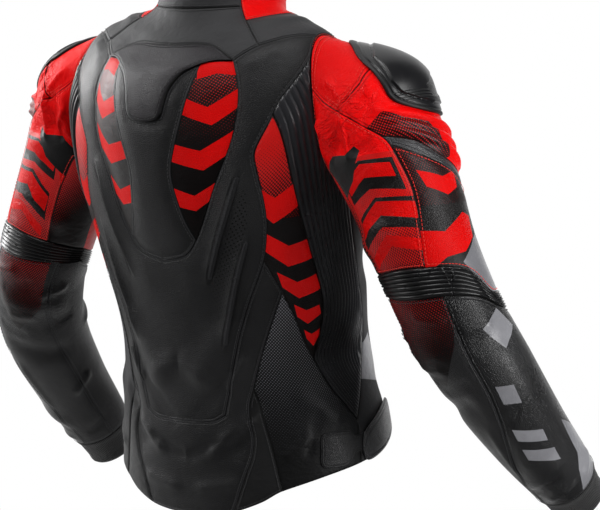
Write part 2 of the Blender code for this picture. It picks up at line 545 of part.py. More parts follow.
# ------------------------------------------------------------------ cutting the maps
class Cut:
    """One map cut along its lines into triangles that each belong to a piece.

    lines is a list of (kind, points): "seam" lines bound the pieces, an overlay's name
    marks its outline, and "crest" lines only carry relief.
    """

    def __init__(self, lines, seeds, scale, bounds):
        self.scale = np.array([scale, 1.0])
        self.points, self.edges, self.line_kinds = [], [], []
        for kind, line in lines:
            first = len(self.points)
            self.points += [np.asarray(p, float) * self.scale for p in line]
            for i in range(first, len(self.points) - 1):
                self.edges.append((i, i + 1))
                self.line_kinds.append(kind)
        self.add_lattice(bounds)
        self.triangulate()
        self.pieces = self.flood("seam", seeds)

    def add_lattice(self, bounds):
        """A staggered lattice of points that keeps clear of the lines."""
        fixed = np.array(self.points)
        a0, b0, a1, b1 = bounds
        for j, b in enumerate(np.arange(b0, b1, LATTICE * 0.87)):
            for a in np.arange(a0 + (j % 2) * LATTICE / 2, a1, LATTICE):
                if np.min(np.hypot(*(fixed - (a, b)).T)) > LATTICE * 0.55:
                    self.points.append(np.array([a, b]))

    def triangulate(self):
        """Constrained Delaunay triangles, with the kinds of line along each edge."""
        verts, edges, faces, _, origin, _ = delaunay_2d_cdt(
            [Vector(p) for p in self.points], self.edges, [], 0, 1e-6)
        self.flat = np.array([tuple(v) for v in verts])
        self.verts = self.flat / self.scale
        self.faces = np.array([tuple(f) for f in faces])
        self.kinds = {frozenset(e): {self.line_kinds[i] for i in source}
                      for e, source in zip(edges, origin) if source}
        self.sides = {}
        for f, tri in enumerate(self.faces):
            for edge in triangle_edges(tri):
                self.sides.setdefault(edge, []).append(f)

    def flood(self, kind, seeds):
        """A name for each triangle, spread from the seeds up to lines of one kind."""
        names = [None] * len(self.faces)
        for name, a, b in seeds:
            stack = [self.find(a, b)]
            while stack:
                f = stack.pop()
                if names[f] is None:
                    names[f] = name
                    for edge in triangle_edges(self.faces[f]):
                        if kind not in self.kinds.get(edge, ()):
                            stack += self.sides[edge]
        return names

    def find(self, a, b):
        """The triangle that holds a map point."""
        p = np.array([a, b]) * self.scale
        corners = [self.flat[self.faces[:, k]] for k in range(3)]
        inside = np.ones(len(self.faces), bool)
        for o, q in zip(corners, corners[1:] + corners[:1]):
            side = (q - o)[:, 0] * (p - o)[:, 1] - (q - o)[:, 1] * (p - o)[:, 0]
            inside &= side >= -1e-12
        return int(np.argmax(inside))

    def clearance(self, a, b):
        """Distance in metres from a map point to the nearest seam."""
        p = np.array([a, b]) * self.scale
        ends = np.array([self.flat[list(e)] for e, k in self.kinds.items() if "seam" in k])
        start, way = ends[:, 0], ends[:, 1] - ends[:, 0]
        t = np.clip(((p - start) * way).sum(1) / (way**2).sum(1), 0, 1)[:, None]
        return np.min(np.hypot(*(start + way * t - p).T))

    def inner_vertices(self, name):
        """Vertices that touch triangles of one piece only."""
        mine, others = set(), set()
        for tri, piece in zip(self.faces, self.pieces):
            (mine if piece == name else others).update(int(i) for i in tri)
        return sorted(mine - others)


def triangle_edges(tri):
    """The three edges of a triangle as pairs without direction."""
    a, b, c = (int(i) for i in tri)
    return frozenset((a, b)), frozenset((b, c)), frozenset((c, a))


def map_line(points, scale, closed=False):
    """A smooth seam through map points, its steps measured in metres."""
    line = smooth_line([(a * scale, b) for a, b in points], SEAM_STEP, closed)
    line = [(p[0] / scale, p[1]) for p in line]
    return line + line[:1] if closed else line


def runs_inside(cut, piece, points, margin, stride):
    """The stretches of a line that lie inside a piece and clear of its seams."""
    runs, run = [], []
    for a, b in points:
        if cut.pieces[cut.find(a, b)] == piece and cut.clearance(a, b) > margin:
            run.append((a, b))
        else:
            runs.append(run)
            run = []
    runs.append(run)
    thinned = [r[::stride] + ([r[-1]] if (len(r) - 1) % stride else []) for r in runs if r]
    return [("crest", r) for r in thinned if len(r) > 1]


def body_crests(cut):
    """Lines along the darts, the stretch panel's ribs and the zip's chain."""
    lines = []
    for u0, v0, u1, v1 in DARTS:
        run = np.array([u1 - u0, v1 - v0])
        side = np.array([run[1], -run[0]]) / np.linalg.norm(run) * DART_HALF
        for k in (-1, 0, 1):
            t = np.linspace(0.05 * abs(k), 1 - 0.05 * abs(k), 6)[:, None]
            lines.append(("crest", list(np.array([u0, v0]) + side * k + run * t)))
    for k in range(1, 2 * STRETCH_RIBS):
        v = np.arange(0.120, 0.515, 0.006)
        left, right = np.moveaxis(curve_through(STRETCH, v), -1, 0)
        u = left + (right - left) * k / (2 * STRETCH_RIBS)
        lines += runs_inside(cut, "side_stretch", zip(u, v), 0.0045, 7)
    chain = [(0.5 - TEETH_HALF, v) for v in np.arange(COLLAR_TOP + 0.004, 0.553, 0.006)]
    return lines + runs_inside(cut, "front_zip", chain, 0.003, 5)


def sleeve_crests(cut):
    """Lines along the shoulder's ribs and the elbow band's ribs."""
    first, second, third = (np.array(row) for row in SHOULDER_RIBS)
    between = (1.5 * first - 0.5 * second, (first + second) / 2, (second + third) / 2,
               1.5 * third - 0.5 * second)
    phi = np.linspace(46, -66, 29)
    lines = []
    for row in (first, second, third, *between):
        lines += runs_inside(cut, "sleeve_ribs", zip(phi, rib_crest(row, phi)), 0.004, 5)
    phi = np.array(HOLE_ANGLES, float)
    top, low = np.moveaxis(curve_through(ELBOW, phi), -1, 0)
    for k in range(1, 2 * ELBOW_RIBS):
        lines.append(("crest", list(zip(phi, top + (low - top) * k / (2 * ELBOW_RIBS)))))
    return lines


def cut_map(which):
    """The body map or the sleeve map, cut along its seams and outlines."""
    scale = MAPS[which][3]
    if which == "body":
        seams, seeds, crests = BODY_SEAMS, BODY_PIECES, body_crests
        hole = [hole_point(a) for a in HOLE_ANGLES]
        bounds = (0.014, COLLAR_TOP + 0.018, 0.480, 0.63)
    else:
        seams, seeds, crests = SLEEVE_SEAMS, SLEEVE_PIECES, sleeve_crests
        hole = [head_point(a) for a in HOLE_ANGLES]
        bounds = (-170 * ARC, 0.012, 170 * ARC, CUFF_END)
    lines = [("seam", hole)] + [("seam", map_line(s, scale)) for s in seams]
    lines += [(name, map_line(outline, scale, closed=True))
              for name, where, outline, *_ in OVERLAYS if where == which]
    plain = Cut(lines, seeds, scale, bounds)
    return Cut(lines + crests(plain), seeds, scale, bounds)


# ------------------------------------------------------------------ the sewn skin
class Skin:
    """The whole jacket as one welded surface, sorted into its pieces.

    Each vertex also holds the extra height of its outer face, where a piece has ribs.
    """

    def __init__(self):
        self.mesh = bmesh.new()
        self.rib = self.mesh.verts.layers.float.new("rib")
        self.pieces, self.covers = {}, {}
        tags = []
        for which, (surface, relief, ribs, scale, turn) in MAPS.items():
            cut = cut_map(which)
            a, b = cut.verts.T
            extra = np.zeros(len(a))
            for name, height in ribs(a, b).items():
                inner = cut.inner_vertices(name)
                extra[inner] = height[inner]
            covers = {o[0]: cut.flood(o[0], [(o[0], *np.mean(o[2], axis=0))])
                      for o in OVERLAYS if o[1] == which}
            for side, ending in ((1, "_l"), (-1, "_r")):
                points = lay(which, a, b, relief(a, b), side)
                tags += self.add(cut, covers, points, extra, side, side * turn, ending)
        bmesh.ops.remove_doubles(self.mesh, verts=self.mesh.verts[:], dist=2e-5)
        self.mesh.normal_update()
        self.mesh.verts.index_update()
        for face, (piece, covering) in zip(self.mesh.faces, tags):
            self.pieces.setdefault(piece, []).append(face)
            for name in covering:
                self.covers.setdefault(name, []).append(face)

    def add(self, cut, covers, points, extra, side, turn, ending):
        """One half of the body, or one sleeve; returns the names for each face."""
        verts = []
        for (x, y, z), height in zip(points, extra):
            verts.append(self.mesh.verts.new((side * x, y, z)))
            verts[-1][self.rib] = height
        tags = []
        for f, (tri, name) in enumerate(zip(cut.faces, cut.pieces)):
            if name is None:
                continue
            self.mesh.faces.new([verts[i] for i in (tri if turn > 0 else tri[::-1])])
            label = name if name in CENTRE_PIECES else name + ending
            tags.append((label, [c + ending for c, flags in covers.items() if flags[f]]))
        return tags


# ------------------------------------------------------------------ walls
def border(faces):
    """The directed border edges of a set of faces, as pairs of vertices."""
    own = set(faces)
    return [(loop.vert, loop.link_loop_next.vert) for face in faces for loop in face.loops
            if sum(f in own for f in loop.edge.link_faces) == 1]


def seam_offsets(faces):
    """How far each border vertex moves inwards to leave half of the seam's slit."""
    ways = {}
    for a, b in border(faces):
        along = (b.co - a.co).normalized()
        for vert in (a, b):
            ways.setdefault(vert, []).append(vert.normal.cross(along).normalized())
    offsets = {}
    for vert, (one, other) in ways.items():
        offsets[vert] = (one + other) * (SEAM / 2 / max(1 + one.dot(other), 0.35))
    return offsets


def wall_mesh(name, faces, rib, bottom, edge_top, inner_top):
    """A closed wall over some faces of the skin, between heights along the normals."""
    mesh = bmesh.new()
    offsets = seam_offsets(faces)
    above, below = {}, {}
    for vert in dict.fromkeys(v for face in faces for v in face.verts):
        spot = vert.co + offsets.get(vert, Vector())
        top = (edge_top if vert in offsets else inner_top) + vert[rib]
        above[vert] = mesh.verts.new(spot + vert.normal * top)
        low = bottom + (vert[rib] if bottom > 0 else 0)
        below[vert] = mesh.verts.new(spot + vert.normal * low)
    for face in faces:
        mesh.faces.new([above[v] for v in face.verts])
        mesh.faces.new([below[v] for v in reversed(face.verts)])
    for a, b in border(faces):
        # Both sides of a seam split their rims along the same diagonal.
        first, second = (b, a) if a.index < b.index else (a, b)
        mesh.faces.new((above[b], above[a], below[second]))
        mesh.faces.new((above[first], below[a], below[b]))
    centre = sum((v.co for v in mesh.verts), Vector()) / len(mesh.verts)
    bmesh.ops.translate(mesh, verts=mesh.verts[:], vec=-centre)
    data = bpy.data.meshes.new(name)
    mesh.to_mesh(data)
    mesh.free()
    return data, centre


# ------------------------------------------------------------------ scene building
def make_material(name):
    """A Principled material with one of the finishes."""
    if name in bpy.data.materials:
        return bpy.data.materials[name]
    red, green, blue, roughness, metallic = FINISHES[name]
    material = bpy.data.materials.new(name)
    material.use_nodes = True
    shader = material.node_tree.nodes["Principled BSDF"]
    shader.inputs["Base Color"].default_value = (red, green, blue, 1)
    shader.inputs["Roughness"].default_value = roughness
    shader.inputs["Metallic"].default_value = metallic
    return material


def place(name, data, location, parent, collection):
    """One named object of the jacket with its own material."""
    piece = bpy.data.objects.new(name, data)
    kind = name[:-2] if name.endswith(("_l", "_r")) else name
    data.materials.append(make_material(PIECE_FINISH[kind]))
    piece.location = location
    piece.parent = parent
    collection.objects.link(piece)
    return piece


def build_cloth(skin, parent, collection):
    """Every cut piece as a wall, and every overlay from the points that it lies on."""
    for name, faces in skin.pieces.items():
        data, centre = wall_mesh(name, faces, skin.rib, -CLOTH, 0.0, 0.0)
        place(name, data, centre, parent, collection)
    for kind, _, _, gap, edge, middle in OVERLAYS:
        for name in (kind + "_l", kind + "_r"):
            data, centre = wall_mesh(name, skin.covers[name], skin.rib,
                                     gap, gap + edge, gap + middle)
            place(name, data, centre, parent, collection)


def box(name, size, centre):
    """A box of the given size, as a mesh with its own centre."""
    mesh = bmesh.new()
    bmesh.ops.create_cube(mesh, size=1.0)
    bmesh.ops.scale(mesh, vec=size, verts=mesh.verts[:])
    bmesh.ops.translate(mesh, vec=centre, verts=mesh.verts[:])
    data = bpy.data.meshes.new(name)
    mesh.to_mesh(data)
    mesh.free()
    return data


def rod(name, diameter, length, centre):
    """A cylinder along X."""
    mesh = bmesh.new()
    bmesh.ops.create_cone(mesh, cap_ends=True, segments=16, radius1=diameter / 2,
                          radius2=diameter / 2, depth=length)
    bmesh.ops.rotate(mesh, verts=mesh.verts[:], matrix=Matrix.Rotation(pi / 2, 3, "Y"))
    bmesh.ops.translate(mesh, vec=centre, verts=mesh.verts[:])
    data = bpy.data.meshes.new(name)
    mesh.to_mesh(data)
    mesh.free()
    return data


def combine(piece, data, operation, cutters):
    """Add or cut a shape with an exact Boolean; the cutter is a hidden guide."""
    cutter = bpy.data.objects.new(data.name, data)
    cutter.parent = piece.parent
    cutter.hide_render = True
    cutter.display_type = "WIRE"
    cutters.objects.link(cutter)
    modifier = piece.modifiers.new(data.name, "BOOLEAN")
    modifier.operation = operation
    modifier.object = cutter


def build_slider(skin, body, collection, cutters):
    """The zip's slider on its chain, and the pull tab that swings on the slider's pin.

    In the slider's own frame X runs along the pin, Y away from the cloth and Z up the zip.
    """
    tree = BVHTree.FromBMesh(skin.mesh)
    low, high = (body_point(np.array(0.5), np.array(SLIDER_V + d)) for d in (0.004, -0.004))
    seat = [tree.ray_cast(Vector(p) - Vector((0, 0.05, 0)), Vector((0, 1, 0)))[0]
            for p in (low, high)]
    up = (seat[1] - seat[0]).normalized()
    out = up.cross(Vector((-1, 0, 0))).normalized()
    out = out if out.y < 0 else -out
    across = out.cross(up)
    frame = bpy.data.objects.new("slider_frame", None)
    spot = (seat[0] + seat[1]) / 2 + out * (TEETH_RISE + SEAM)
    frame.matrix_world = Matrix.Translation(spot) @ Matrix((across, out, up)).transposed().to_4x4()
    frame.parent = body
    collection.objects.link(frame)
    width, depth, height = SLIDER_SIZE
    pin, reach = PULL_PIN
    axis = depth + 0.0028
    slider = place("zip_slider", box("zip_slider", SLIDER_SIZE, (0, depth / 2, 0)),
                   (0, 0, 0), frame, collection)
    for side in (-1, 1):
        ear = box("ear", (0.0016, axis + 0.0022 - 0.001, 0.0050),
                  (side * (width / 2 - 0.0010), (axis + 0.0022 + 0.001) / 2, 0))
        combine(slider, ear, "UNION", cutters)
    combine(slider, rod("pin_hole", pin + 0.0006, 0.02, (0, axis, 0)), "DIFFERENCE", cutters)
    hinge = bpy.data.objects.new("pull_axis", None)
    hinge.location = (0, axis, 0)
    hinge.parent = frame
    collection.objects.link(hinge)
    pull_width, pull_depth, pull_length = PULL_SIZE
    pull = place("zip_pull", rod("zip_pull", pin, reach, (0, 0, 0)), (0, 0, 0), hinge,
                 collection)
    combine(pull, rod("knuckle", 0.0038, width - 0.0038, (0, 0, 0)), "UNION", cutters)
    combine(pull, box("stem", (width - 0.0042, pull_depth, 0.010), (0, 0, -0.006)),
            "UNION", cutters)
    combine(pull, box("tab", (pull_width, pull_depth * 1.02, pull_length - 0.009),
                      (0, 0, -0.009 - (pull_length - 0.009) / 2)), "UNION", cutters)


def main():
    """Clear the scene and build the jacket in its own collection."""
    for piece in list(bpy.data.objects):
        bpy.data.objects.remove(piece, do_unlink=True)
    collection = bpy.data.collections.new("motorcycle_jacket")
    cutters = bpy.data.collections.new("cutters")
    for group in (collection, cutters):
        bpy.context.scene.collection.children.link(group)
    body = bpy.data.objects.new("jacket", None)
    collection.objects.link(body)
    skin = Skin()
    build_cloth(skin, body, collection)
    build_slider(skin, body, collection, cutters)
    skin.mesh.free()


main()
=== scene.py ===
# %% [markdown]
# # A worn motorcycle jacket
#
# The jacket hangs in the shape of its wearer, with nobody inside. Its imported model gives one
# stiff wall for each piece of the cut. This lesson dresses that model: each wall is replaced
# by a finely cut piece of leather, stretch or mesh that follows the same form, and then come
# the prints, the accordion ribs, the shoulder cups, the stitches and the zip.

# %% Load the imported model
from math import cos, pi, radians, sin

import bmesh
import bpy
import numpy as np
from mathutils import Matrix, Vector
from mathutils.geometry import delaunay_2d_cdt
from mathutils.kdtree import KDTree


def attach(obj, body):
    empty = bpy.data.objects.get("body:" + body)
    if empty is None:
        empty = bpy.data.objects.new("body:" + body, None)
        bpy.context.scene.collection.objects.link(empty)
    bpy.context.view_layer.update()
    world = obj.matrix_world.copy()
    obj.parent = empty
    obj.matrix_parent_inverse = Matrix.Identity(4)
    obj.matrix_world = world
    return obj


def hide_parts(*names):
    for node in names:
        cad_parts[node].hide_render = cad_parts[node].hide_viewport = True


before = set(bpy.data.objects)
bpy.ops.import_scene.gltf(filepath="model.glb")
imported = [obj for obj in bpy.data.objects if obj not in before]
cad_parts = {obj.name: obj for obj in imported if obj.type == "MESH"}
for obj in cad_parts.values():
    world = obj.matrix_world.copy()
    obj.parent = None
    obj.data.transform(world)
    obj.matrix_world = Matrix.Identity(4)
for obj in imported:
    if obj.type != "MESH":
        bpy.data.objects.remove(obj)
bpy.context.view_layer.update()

# %% [markdown]
# ## Camera, light and floor
#
# The camera looks at the back from the wearer's right, a little above the waist's height. The
# view is a long lens from 2.7 m, so the arms keep their proportions. A camera can be turned
# with angles, but a jacket is easier to frame with a target point and two small offsets, which
# is what a photographer does: first walk to a place, then pan.


# %% Place the camera
def placed(name, data):
    """A new object that is part of the scene."""
    thing = bpy.data.objects.new(name, data)
    bpy.context.scene.collection.objects.link(thing)
    return thing


AZIMUTH, ELEVATION = 221.0, 7.4     # degrees round the jacket and above the horizon
TARGET = Vector((0, 0, -0.30))      # the middle of the back
DISTANCE = 2.7
PAN_RIGHT, PAN_DOWN = 0.0403, 0.0028  # how far the view is panned off the target
LENS, SENSOR = 129.6, 36.0          # mm

away = Vector((sin(radians(AZIMUTH)) * cos(radians(ELEVATION)),
               -cos(radians(AZIMUTH)) * cos(radians(ELEVATION)), sin(radians(ELEVATION))))
across = (-away).cross(Vector((0, 0, 1))).normalized()
aim = (-away + across * PAN_RIGHT - across.cross(-away) * PAN_DOWN).normalized()
camera_data = bpy.data.cameras.new("camera")
camera_data.lens, camera_data.sensor_width = LENS, SENSOR
camera = placed("camera", camera_data)
camera.location = TARGET + away * DISTANCE
camera.rotation_euler = aim.to_track_quat("-Z", "Y").to_euler()
bpy.context.scene.camera = camera
bpy.context.scene.view_settings.view_transform = "Standard"
print("camera at", [round(c, 3) for c in camera.location])

# %% [markdown]
# Black leather shows its form only by what it mirrors, so the light is made of large soft
# panels: one above, two on the left that draw the bright rim along the back panel, one on the
# right for the sleeve, and a small low one that draws the ribs of the side. The world is white
# to the camera and a plain grey to the jacket, so the background stays white and adds no glare.


# %% Soft light
def soft_panel(name, size, place, target, watts):
    """A square area light that faces a point."""
    data = bpy.data.lights.new(name, "AREA")
    data.size, data.energy = size, watts
    lamp = placed(name, data)
    lamp.location = place
    lamp.rotation_euler = (Vector(target) - Vector(place)).to_track_quat("-Z", "Y").to_euler()


soft_panel("top", 1.2, (-0.3, 1.0, 2.3), (0, 0, -0.2), 46)
soft_panel("left_rim", 1.0, (2.3, 0.1, 0.5), (0.1, 0, -0.3), 52)
soft_panel("left_back", 0.8, (1.9, 1.9, 0.9), (0, 0, -0.3), 26)
soft_panel("right_rim", 0.8, (-2.4, -0.2, 0.8), (-0.2, 0, -0.2), 26)
soft_panel("side_low", 0.6, (-2.1, -0.35, -0.45), (-0.12, 0, -0.45), 22)
print(len(bpy.data.lights), "soft panels")


# %% A white world
def add(tree, kind, links=(), **settings):
    """One shader node with its settings; links are (its socket, another socket)."""
    node = tree.nodes.new(kind)
    for name, value in settings.items():
        if name.startswith("in_"):
            key = name[3:]
            node.inputs[int(key) if key.isdigit() else key.replace("_", " ")].default_value = value
        else:
            setattr(node, name, value)
    for socket, source in links:
        tree.links.new(source, node.inputs[socket])
    return node


def bare_material(name):
    """A material with an empty node tree."""
    material = bpy.data.materials.new(name)
    material.use_nodes = True
    material.node_tree.nodes.clear()
    return material, material.node_tree


def seen_rays(tree):
    """1 for a ray that shows the background: to the camera, in a mirror or through glass."""
    path = add(tree, "ShaderNodeLightPath")
    direct = add(tree, "ShaderNodeMath", [(0, path.outputs["Is Camera Ray"]),
                                          (1, path.outputs["Is Transmission Ray"])],
                 operation="MAXIMUM")
    return add(tree, "ShaderNodeMath", [(0, direct.outputs[0]),
                                        (1, path.outputs["Is Glossy Ray"])],
               operation="MAXIMUM")


def white_behind(tree, output, grey):
    """White where the camera or a mirror looks, and a plain level as light."""
    seen = seen_rays(tree)
    plain = add(tree, "ShaderNodeBackground", in_Color=(grey, grey, grey, 1))
    white = add(tree, "ShaderNodeBackground", in_Color=(1, 1, 1, 1))
    mix = add(tree, "ShaderNodeMixShader", [(0, seen.outputs[0]), (1, plain.outputs[0]),
                                            (2, white.outputs[0])])
    tree.links.new(mix.outputs[0], output.inputs["Surface"])


world = bpy.data.worlds.new("studio")
world.use_nodes = True
world.node_tree.nodes.clear()
WORLD_LEVEL = 0.13
white_behind(world.node_tree, add(world.node_tree, "ShaderNodeOutputWorld"), WORLD_LEVEL)
bpy.context.scene.world = world
print("the world lights the jacket at", WORLD_LEVEL)

# %% [markdown]
# In a white studio black leather turns grey, because it mirrors the white walls from every
# side. Photographers stand a black card beside the camera, so the leather mirrors black there
# and keeps white only along its turned-away edges. The card here is a part of a sphere that
# only mirror rays see; the camera, the shadows and the plain light pass through it.

# %% A black card on the camera's side
CARD_RADIUS = 3.4
CARD_FROM, CARD_TO = 26, 262        # degrees round from the wearer's left
CARD_LOW, CARD_HIGH = -75, 85       # degrees above the chest
CARD_FOOT = -1.13                   # its lower part lies just above the floor
card_mesh = bpy.data.meshes.new("black_card")
card_shell = bmesh.new()
rows = []
for up in range(CARD_LOW, CARD_HIGH + 1, 5):
    reach = min(CARD_RADIUS, CARD_FOOT / sin(radians(up))) if up < 0 else CARD_RADIUS
    flat, height = reach * cos(radians(up)), reach * sin(radians(up)) + TARGET.z
    rows.append([card_shell.verts.new((flat * cos(radians(turn)), flat * sin(radians(turn)),
                                       height))
                 for turn in range(CARD_FROM, CARD_TO + 1, 4)])
for low_row, high_row in zip(rows, rows[1:]):
    for k in range(len(low_row) - 1):
        card_shell.faces.new((low_row[k], high_row[k], high_row[k + 1], low_row[k + 1]))
card_shell.to_mesh(card_mesh)
card_shell.free()
card = placed("black_card", card_mesh)
for ray in ("camera", "diffuse", "transmission", "volume_scatter", "shadow"):
    setattr(card, "visible_" + ray, False)
felt, tree = bare_material("black_felt")
dark = add(tree, "ShaderNodeEmission", in_Color=(0.05, 0.05, 0.05, 1))
add(tree, "ShaderNodeOutputMaterial", [("Surface", dark.outputs[0])])
card_mesh.materials.append(felt)
print("card from", CARD_FROM, "to", CARD_TO, "degrees")

# %% The floor
FLOOR_DEPTH = 1.45          # the height of the neck's seam on a standing wearer
floor_mesh = bpy.data.meshes.new("floor")
grid = bmesh.new()
bmesh.ops.create_grid(grid, x_segments=1, y_segments=1, size=12)
bmesh.ops.translate(grid, verts=grid.verts[:], vec=(0, 0, -FLOOR_DEPTH))
grid.to_mesh(floor_mesh)
grid.free()
floor = placed("floor", floor_mesh)
paper, tree = bare_material("white_paper_floor")
sheet = add(tree, "ShaderNodeBsdfDiffuse", in_Color=(0.9, 0.9, 0.9, 1))
glow = add(tree, "ShaderNodeEmission", in_Strength=1.0)
lit = add(tree, "ShaderNodeMixShader",
          [(0, seen_rays(tree).outputs[0]), (1, sheet.outputs[0]), (2, glow.outputs[0])])
add(tree, "ShaderNodeOutputMaterial", [("Surface", lit.outputs[0])])
floor_mesh.materials.append(paper)
print("floor at", -FLOOR_DEPTH)

# %% [markdown]
# ## The pattern
#
# A jacket like this starts as a paper pattern, and so does this one. There are two flat maps.
# On the body map (u, v), u runs round the body as a share of its girth, 0 at the centre back
# and 0.5 at the front zip, and v runs down from the neck seam. On the sleeve map (phi, w), phi
# is the angle round the arm, 0 outside and 90 at the back, and w runs down from the armhole.
# Sculpting would also give the form, but a pattern keeps every seam where a maker would put
# it, and its flat coordinates later carry the grain, the prints and the stitches.

# %% Driving sizes, in metres
CLOTH = 0.0020          # wall of leather with its lining
SEAM = 0.0003           # slit between two pieces that are sewn together
HALF_GIRTH = 0.5        # u at the front zip
ZIP_EDGE = 0.488        # u where the fronts stop and the zip begins
COLLAR_TOP = -0.045     # v of the collar's upper edge
CUFF_SEAM = 0.588       # w where the leather stops and the knitted cuff begins
CUFF_END = 0.628        # w of the cuff's open edge
ARC = 0.065 * pi / 180  # metres of sleeve for each degree of phi, near enough to cut by
print("wall", CLOTH, "m, girth of the body map", 2 * HALF_GIRTH)

# %% The body's form
# v, side_x, side_y, side_z, back_y, back_z, front_y, front_z, corner
BODY = np.array([
    (-0.045, 0.083, -0.019, 0.034, 0.053, 0.044, -0.092, -0.014, 0.00),
    (0.000, 0.085, -0.021, 0.005, 0.055, 0.000, -0.098, -0.055, 0.00),
    (0.050, 0.127, -0.011, -0.010, 0.076, -0.045, -0.110, -0.100, 0.03),
    (0.100, 0.172, -0.003, -0.029, 0.087, -0.095, -0.119, -0.140, 0.08),
    (0.160, 0.208, -0.003, -0.090, 0.092, -0.155, -0.131, -0.190, 0.11),
    (0.230, 0.204, -0.010, -0.190, 0.094, -0.225, -0.142, -0.240, 0.09),
    (0.310, 0.182, -0.028, -0.300, 0.088, -0.305, -0.154, -0.310, 0.05),
    (0.420, 0.163, -0.052, -0.412, 0.069, -0.415, -0.206, -0.415, 0.03),
    (0.540, 0.181, -0.070, -0.532, 0.055, -0.535, -0.224, -0.532, 0.03),
    (0.660, 0.195, -0.078, -0.652, 0.046, -0.655, -0.230, -0.652, 0.03),
])

# Below the waist the jacket hangs a little lower on the wearer's left: fall for each
# metre across, and the stretch of v over which it sets in.
HEM_TILT, TILT_START, TILT_RUN = 0.060, 0.400, 0.150

# The back protector's hump: v, half width in u, height at the centre.
HUMP = np.array([
    (0.030, 0.070, 0.000),
    (0.052, 0.084, 0.007),
    (0.070, 0.096, 0.019),
    (0.086, 0.100, 0.028),
    (0.110, 0.097, 0.034),
    (0.150, 0.086, 0.034),
    (0.180, 0.077, 0.029),
    (0.216, 0.065, 0.022),
    (0.256, 0.054, 0.014),
    (0.281, 0.046, 0.009),
    (0.309, 0.030, 0.004),
    (0.340, 0.030, 0.000),
])
HUMP_LIP = 0.004        # padded edge of the back panel round the hump
LIP_REACH = 0.030       # how far that padding fades out
print("the hump stands", HUMP[:, 2].max(), "m high")

# %% The arm's form
# The armhole is an oval on the body map.
HOLE_U, HOLE_V = 0.250, 0.165
HOLE_BACK, HOLE_FRONT, HOLE_TOP, HOLE_BOTTOM = 0.082, 0.080, 0.065, 0.075
# On the sleeve map the armhole is the curve of a sleeve head, lowest under the arm.
HEAD_DROP = 0.120       # w of the armhole under the arm; it is 0 at the shoulder's top
BLEND_TOP, BLEND_LOW = 0.065, 0.045     # stretch of sleeve that leads into the arm's rings
HOLE_ANGLES = (-180, -162, -145, -128, -112, -97, -86, -75, -60, -45, -30, -15, 0,
               15, 30, 45, 60, 75, 88, 103, 117, 131, 145, 162, 180)

# The two arms are held a little differently.
# w, centre's distance from the middle, y, z, radius to the outside, radius to the back
LEFT_ARM = np.array([
    (0.065, 0.221, -0.012, -0.120, 0.067, 0.073),
    (0.150, 0.258, -0.019, -0.200, 0.064, 0.068),
    (0.240, 0.302, -0.023, -0.287, 0.061, 0.062),
    (0.310, 0.338, -0.034, -0.354, 0.060, 0.060),
    (0.400, 0.374, -0.070, -0.436, 0.061, 0.058),
    (0.500, 0.386, -0.130, -0.524, 0.053, 0.052),
    (0.588, 0.378, -0.186, -0.603, 0.043, 0.044),
    (0.650, 0.372, -0.224, -0.660, 0.034, 0.035),
])
RIGHT_ARM = np.array([
    (0.065, 0.234, -0.012, -0.119, 0.075, 0.078),
    (0.150, 0.275, -0.020, -0.200, 0.067, 0.070),
    (0.240, 0.309, -0.025, -0.285, 0.061, 0.063),
    (0.310, 0.336, -0.037, -0.350, 0.060, 0.060),
    (0.400, 0.363, -0.078, -0.429, 0.059, 0.056),
    (0.500, 0.380, -0.142, -0.508, 0.049, 0.050),
    (0.588, 0.392, -0.202, -0.571, 0.041, 0.042),
    (0.650, 0.396, -0.246, -0.617, 0.034, 0.035),
])
ARMS = {1: LEFT_ARM, -1: RIGHT_ARM}
print("wrists at", LEFT_ARM[-2, 1:4], RIGHT_ARM[-2, 1:4])

# %% Relief
# Embossed darts of the back panel, raised welts: u and v at the top, u and v at the bottom.
DARTS = ((0.086, 0.199, 0.052, 0.340), (0.100, 0.269, 0.066, 0.423))

# The stretch panel's accordion ribs run between two edges: v, left u, right u.
STRETCH = np.array([
    (0.110, 0.116, 0.196),
    (0.147, 0.120, 0.171),
    (0.170, 0.126, 0.169),
    (0.195, 0.133, 0.178),
    (0.220, 0.143, 0.197),
    (0.244, 0.152, 0.238),
    (0.275, 0.168, 0.268),
    (0.312, 0.190, 0.292),
    (0.355, 0.211, 0.313),
    (0.388, 0.209, 0.317),
    (0.430, 0.190, 0.301),
    (0.476, 0.212, 0.275),
    (0.522, 0.246, 0.248),
])

# The padded ribs below the shoulder: w at phi 46, -2, -38 and -66.
SHOULDER_RIBS = ((0.078, 0.106, 0.121, 0.128),
                 (0.088, 0.119, 0.136, 0.145),
                 (0.097, 0.131, 0.150, 0.160))
RIB_PHI = (46, -2, -38, -66)
RIB_RISE, RIB_HALF = 0.0065, 0.0060

# The elbow's accordion band: phi, w of its upper edge, w of its lower edge.
ELBOW = np.array([
    (-180, 0.247, 0.266),
    (-140, 0.268, 0.292),
    (-115, 0.288, 0.312),
    (-90, 0.304, 0.332),
    (-62, 0.312, 0.340),
    (-36, 0.311, 0.334),
    (-14, 0.304, 0.321),
    (4, 0.279, 0.306),
    (20, 0.266, 0.297),
    (50, 0.254, 0.286),
    (57, 0.252, 0.284),
    (85, 0.244, 0.278),
    (129, 0.240, 0.268),
    (150, 0.241, 0.266),
    (180, 0.247, 0.266),
])

# Shoulder padding under the hard cup: centre phi and w, reach, height.
CUP_PAD = (-20, 0.055, 0.046, 0.003)

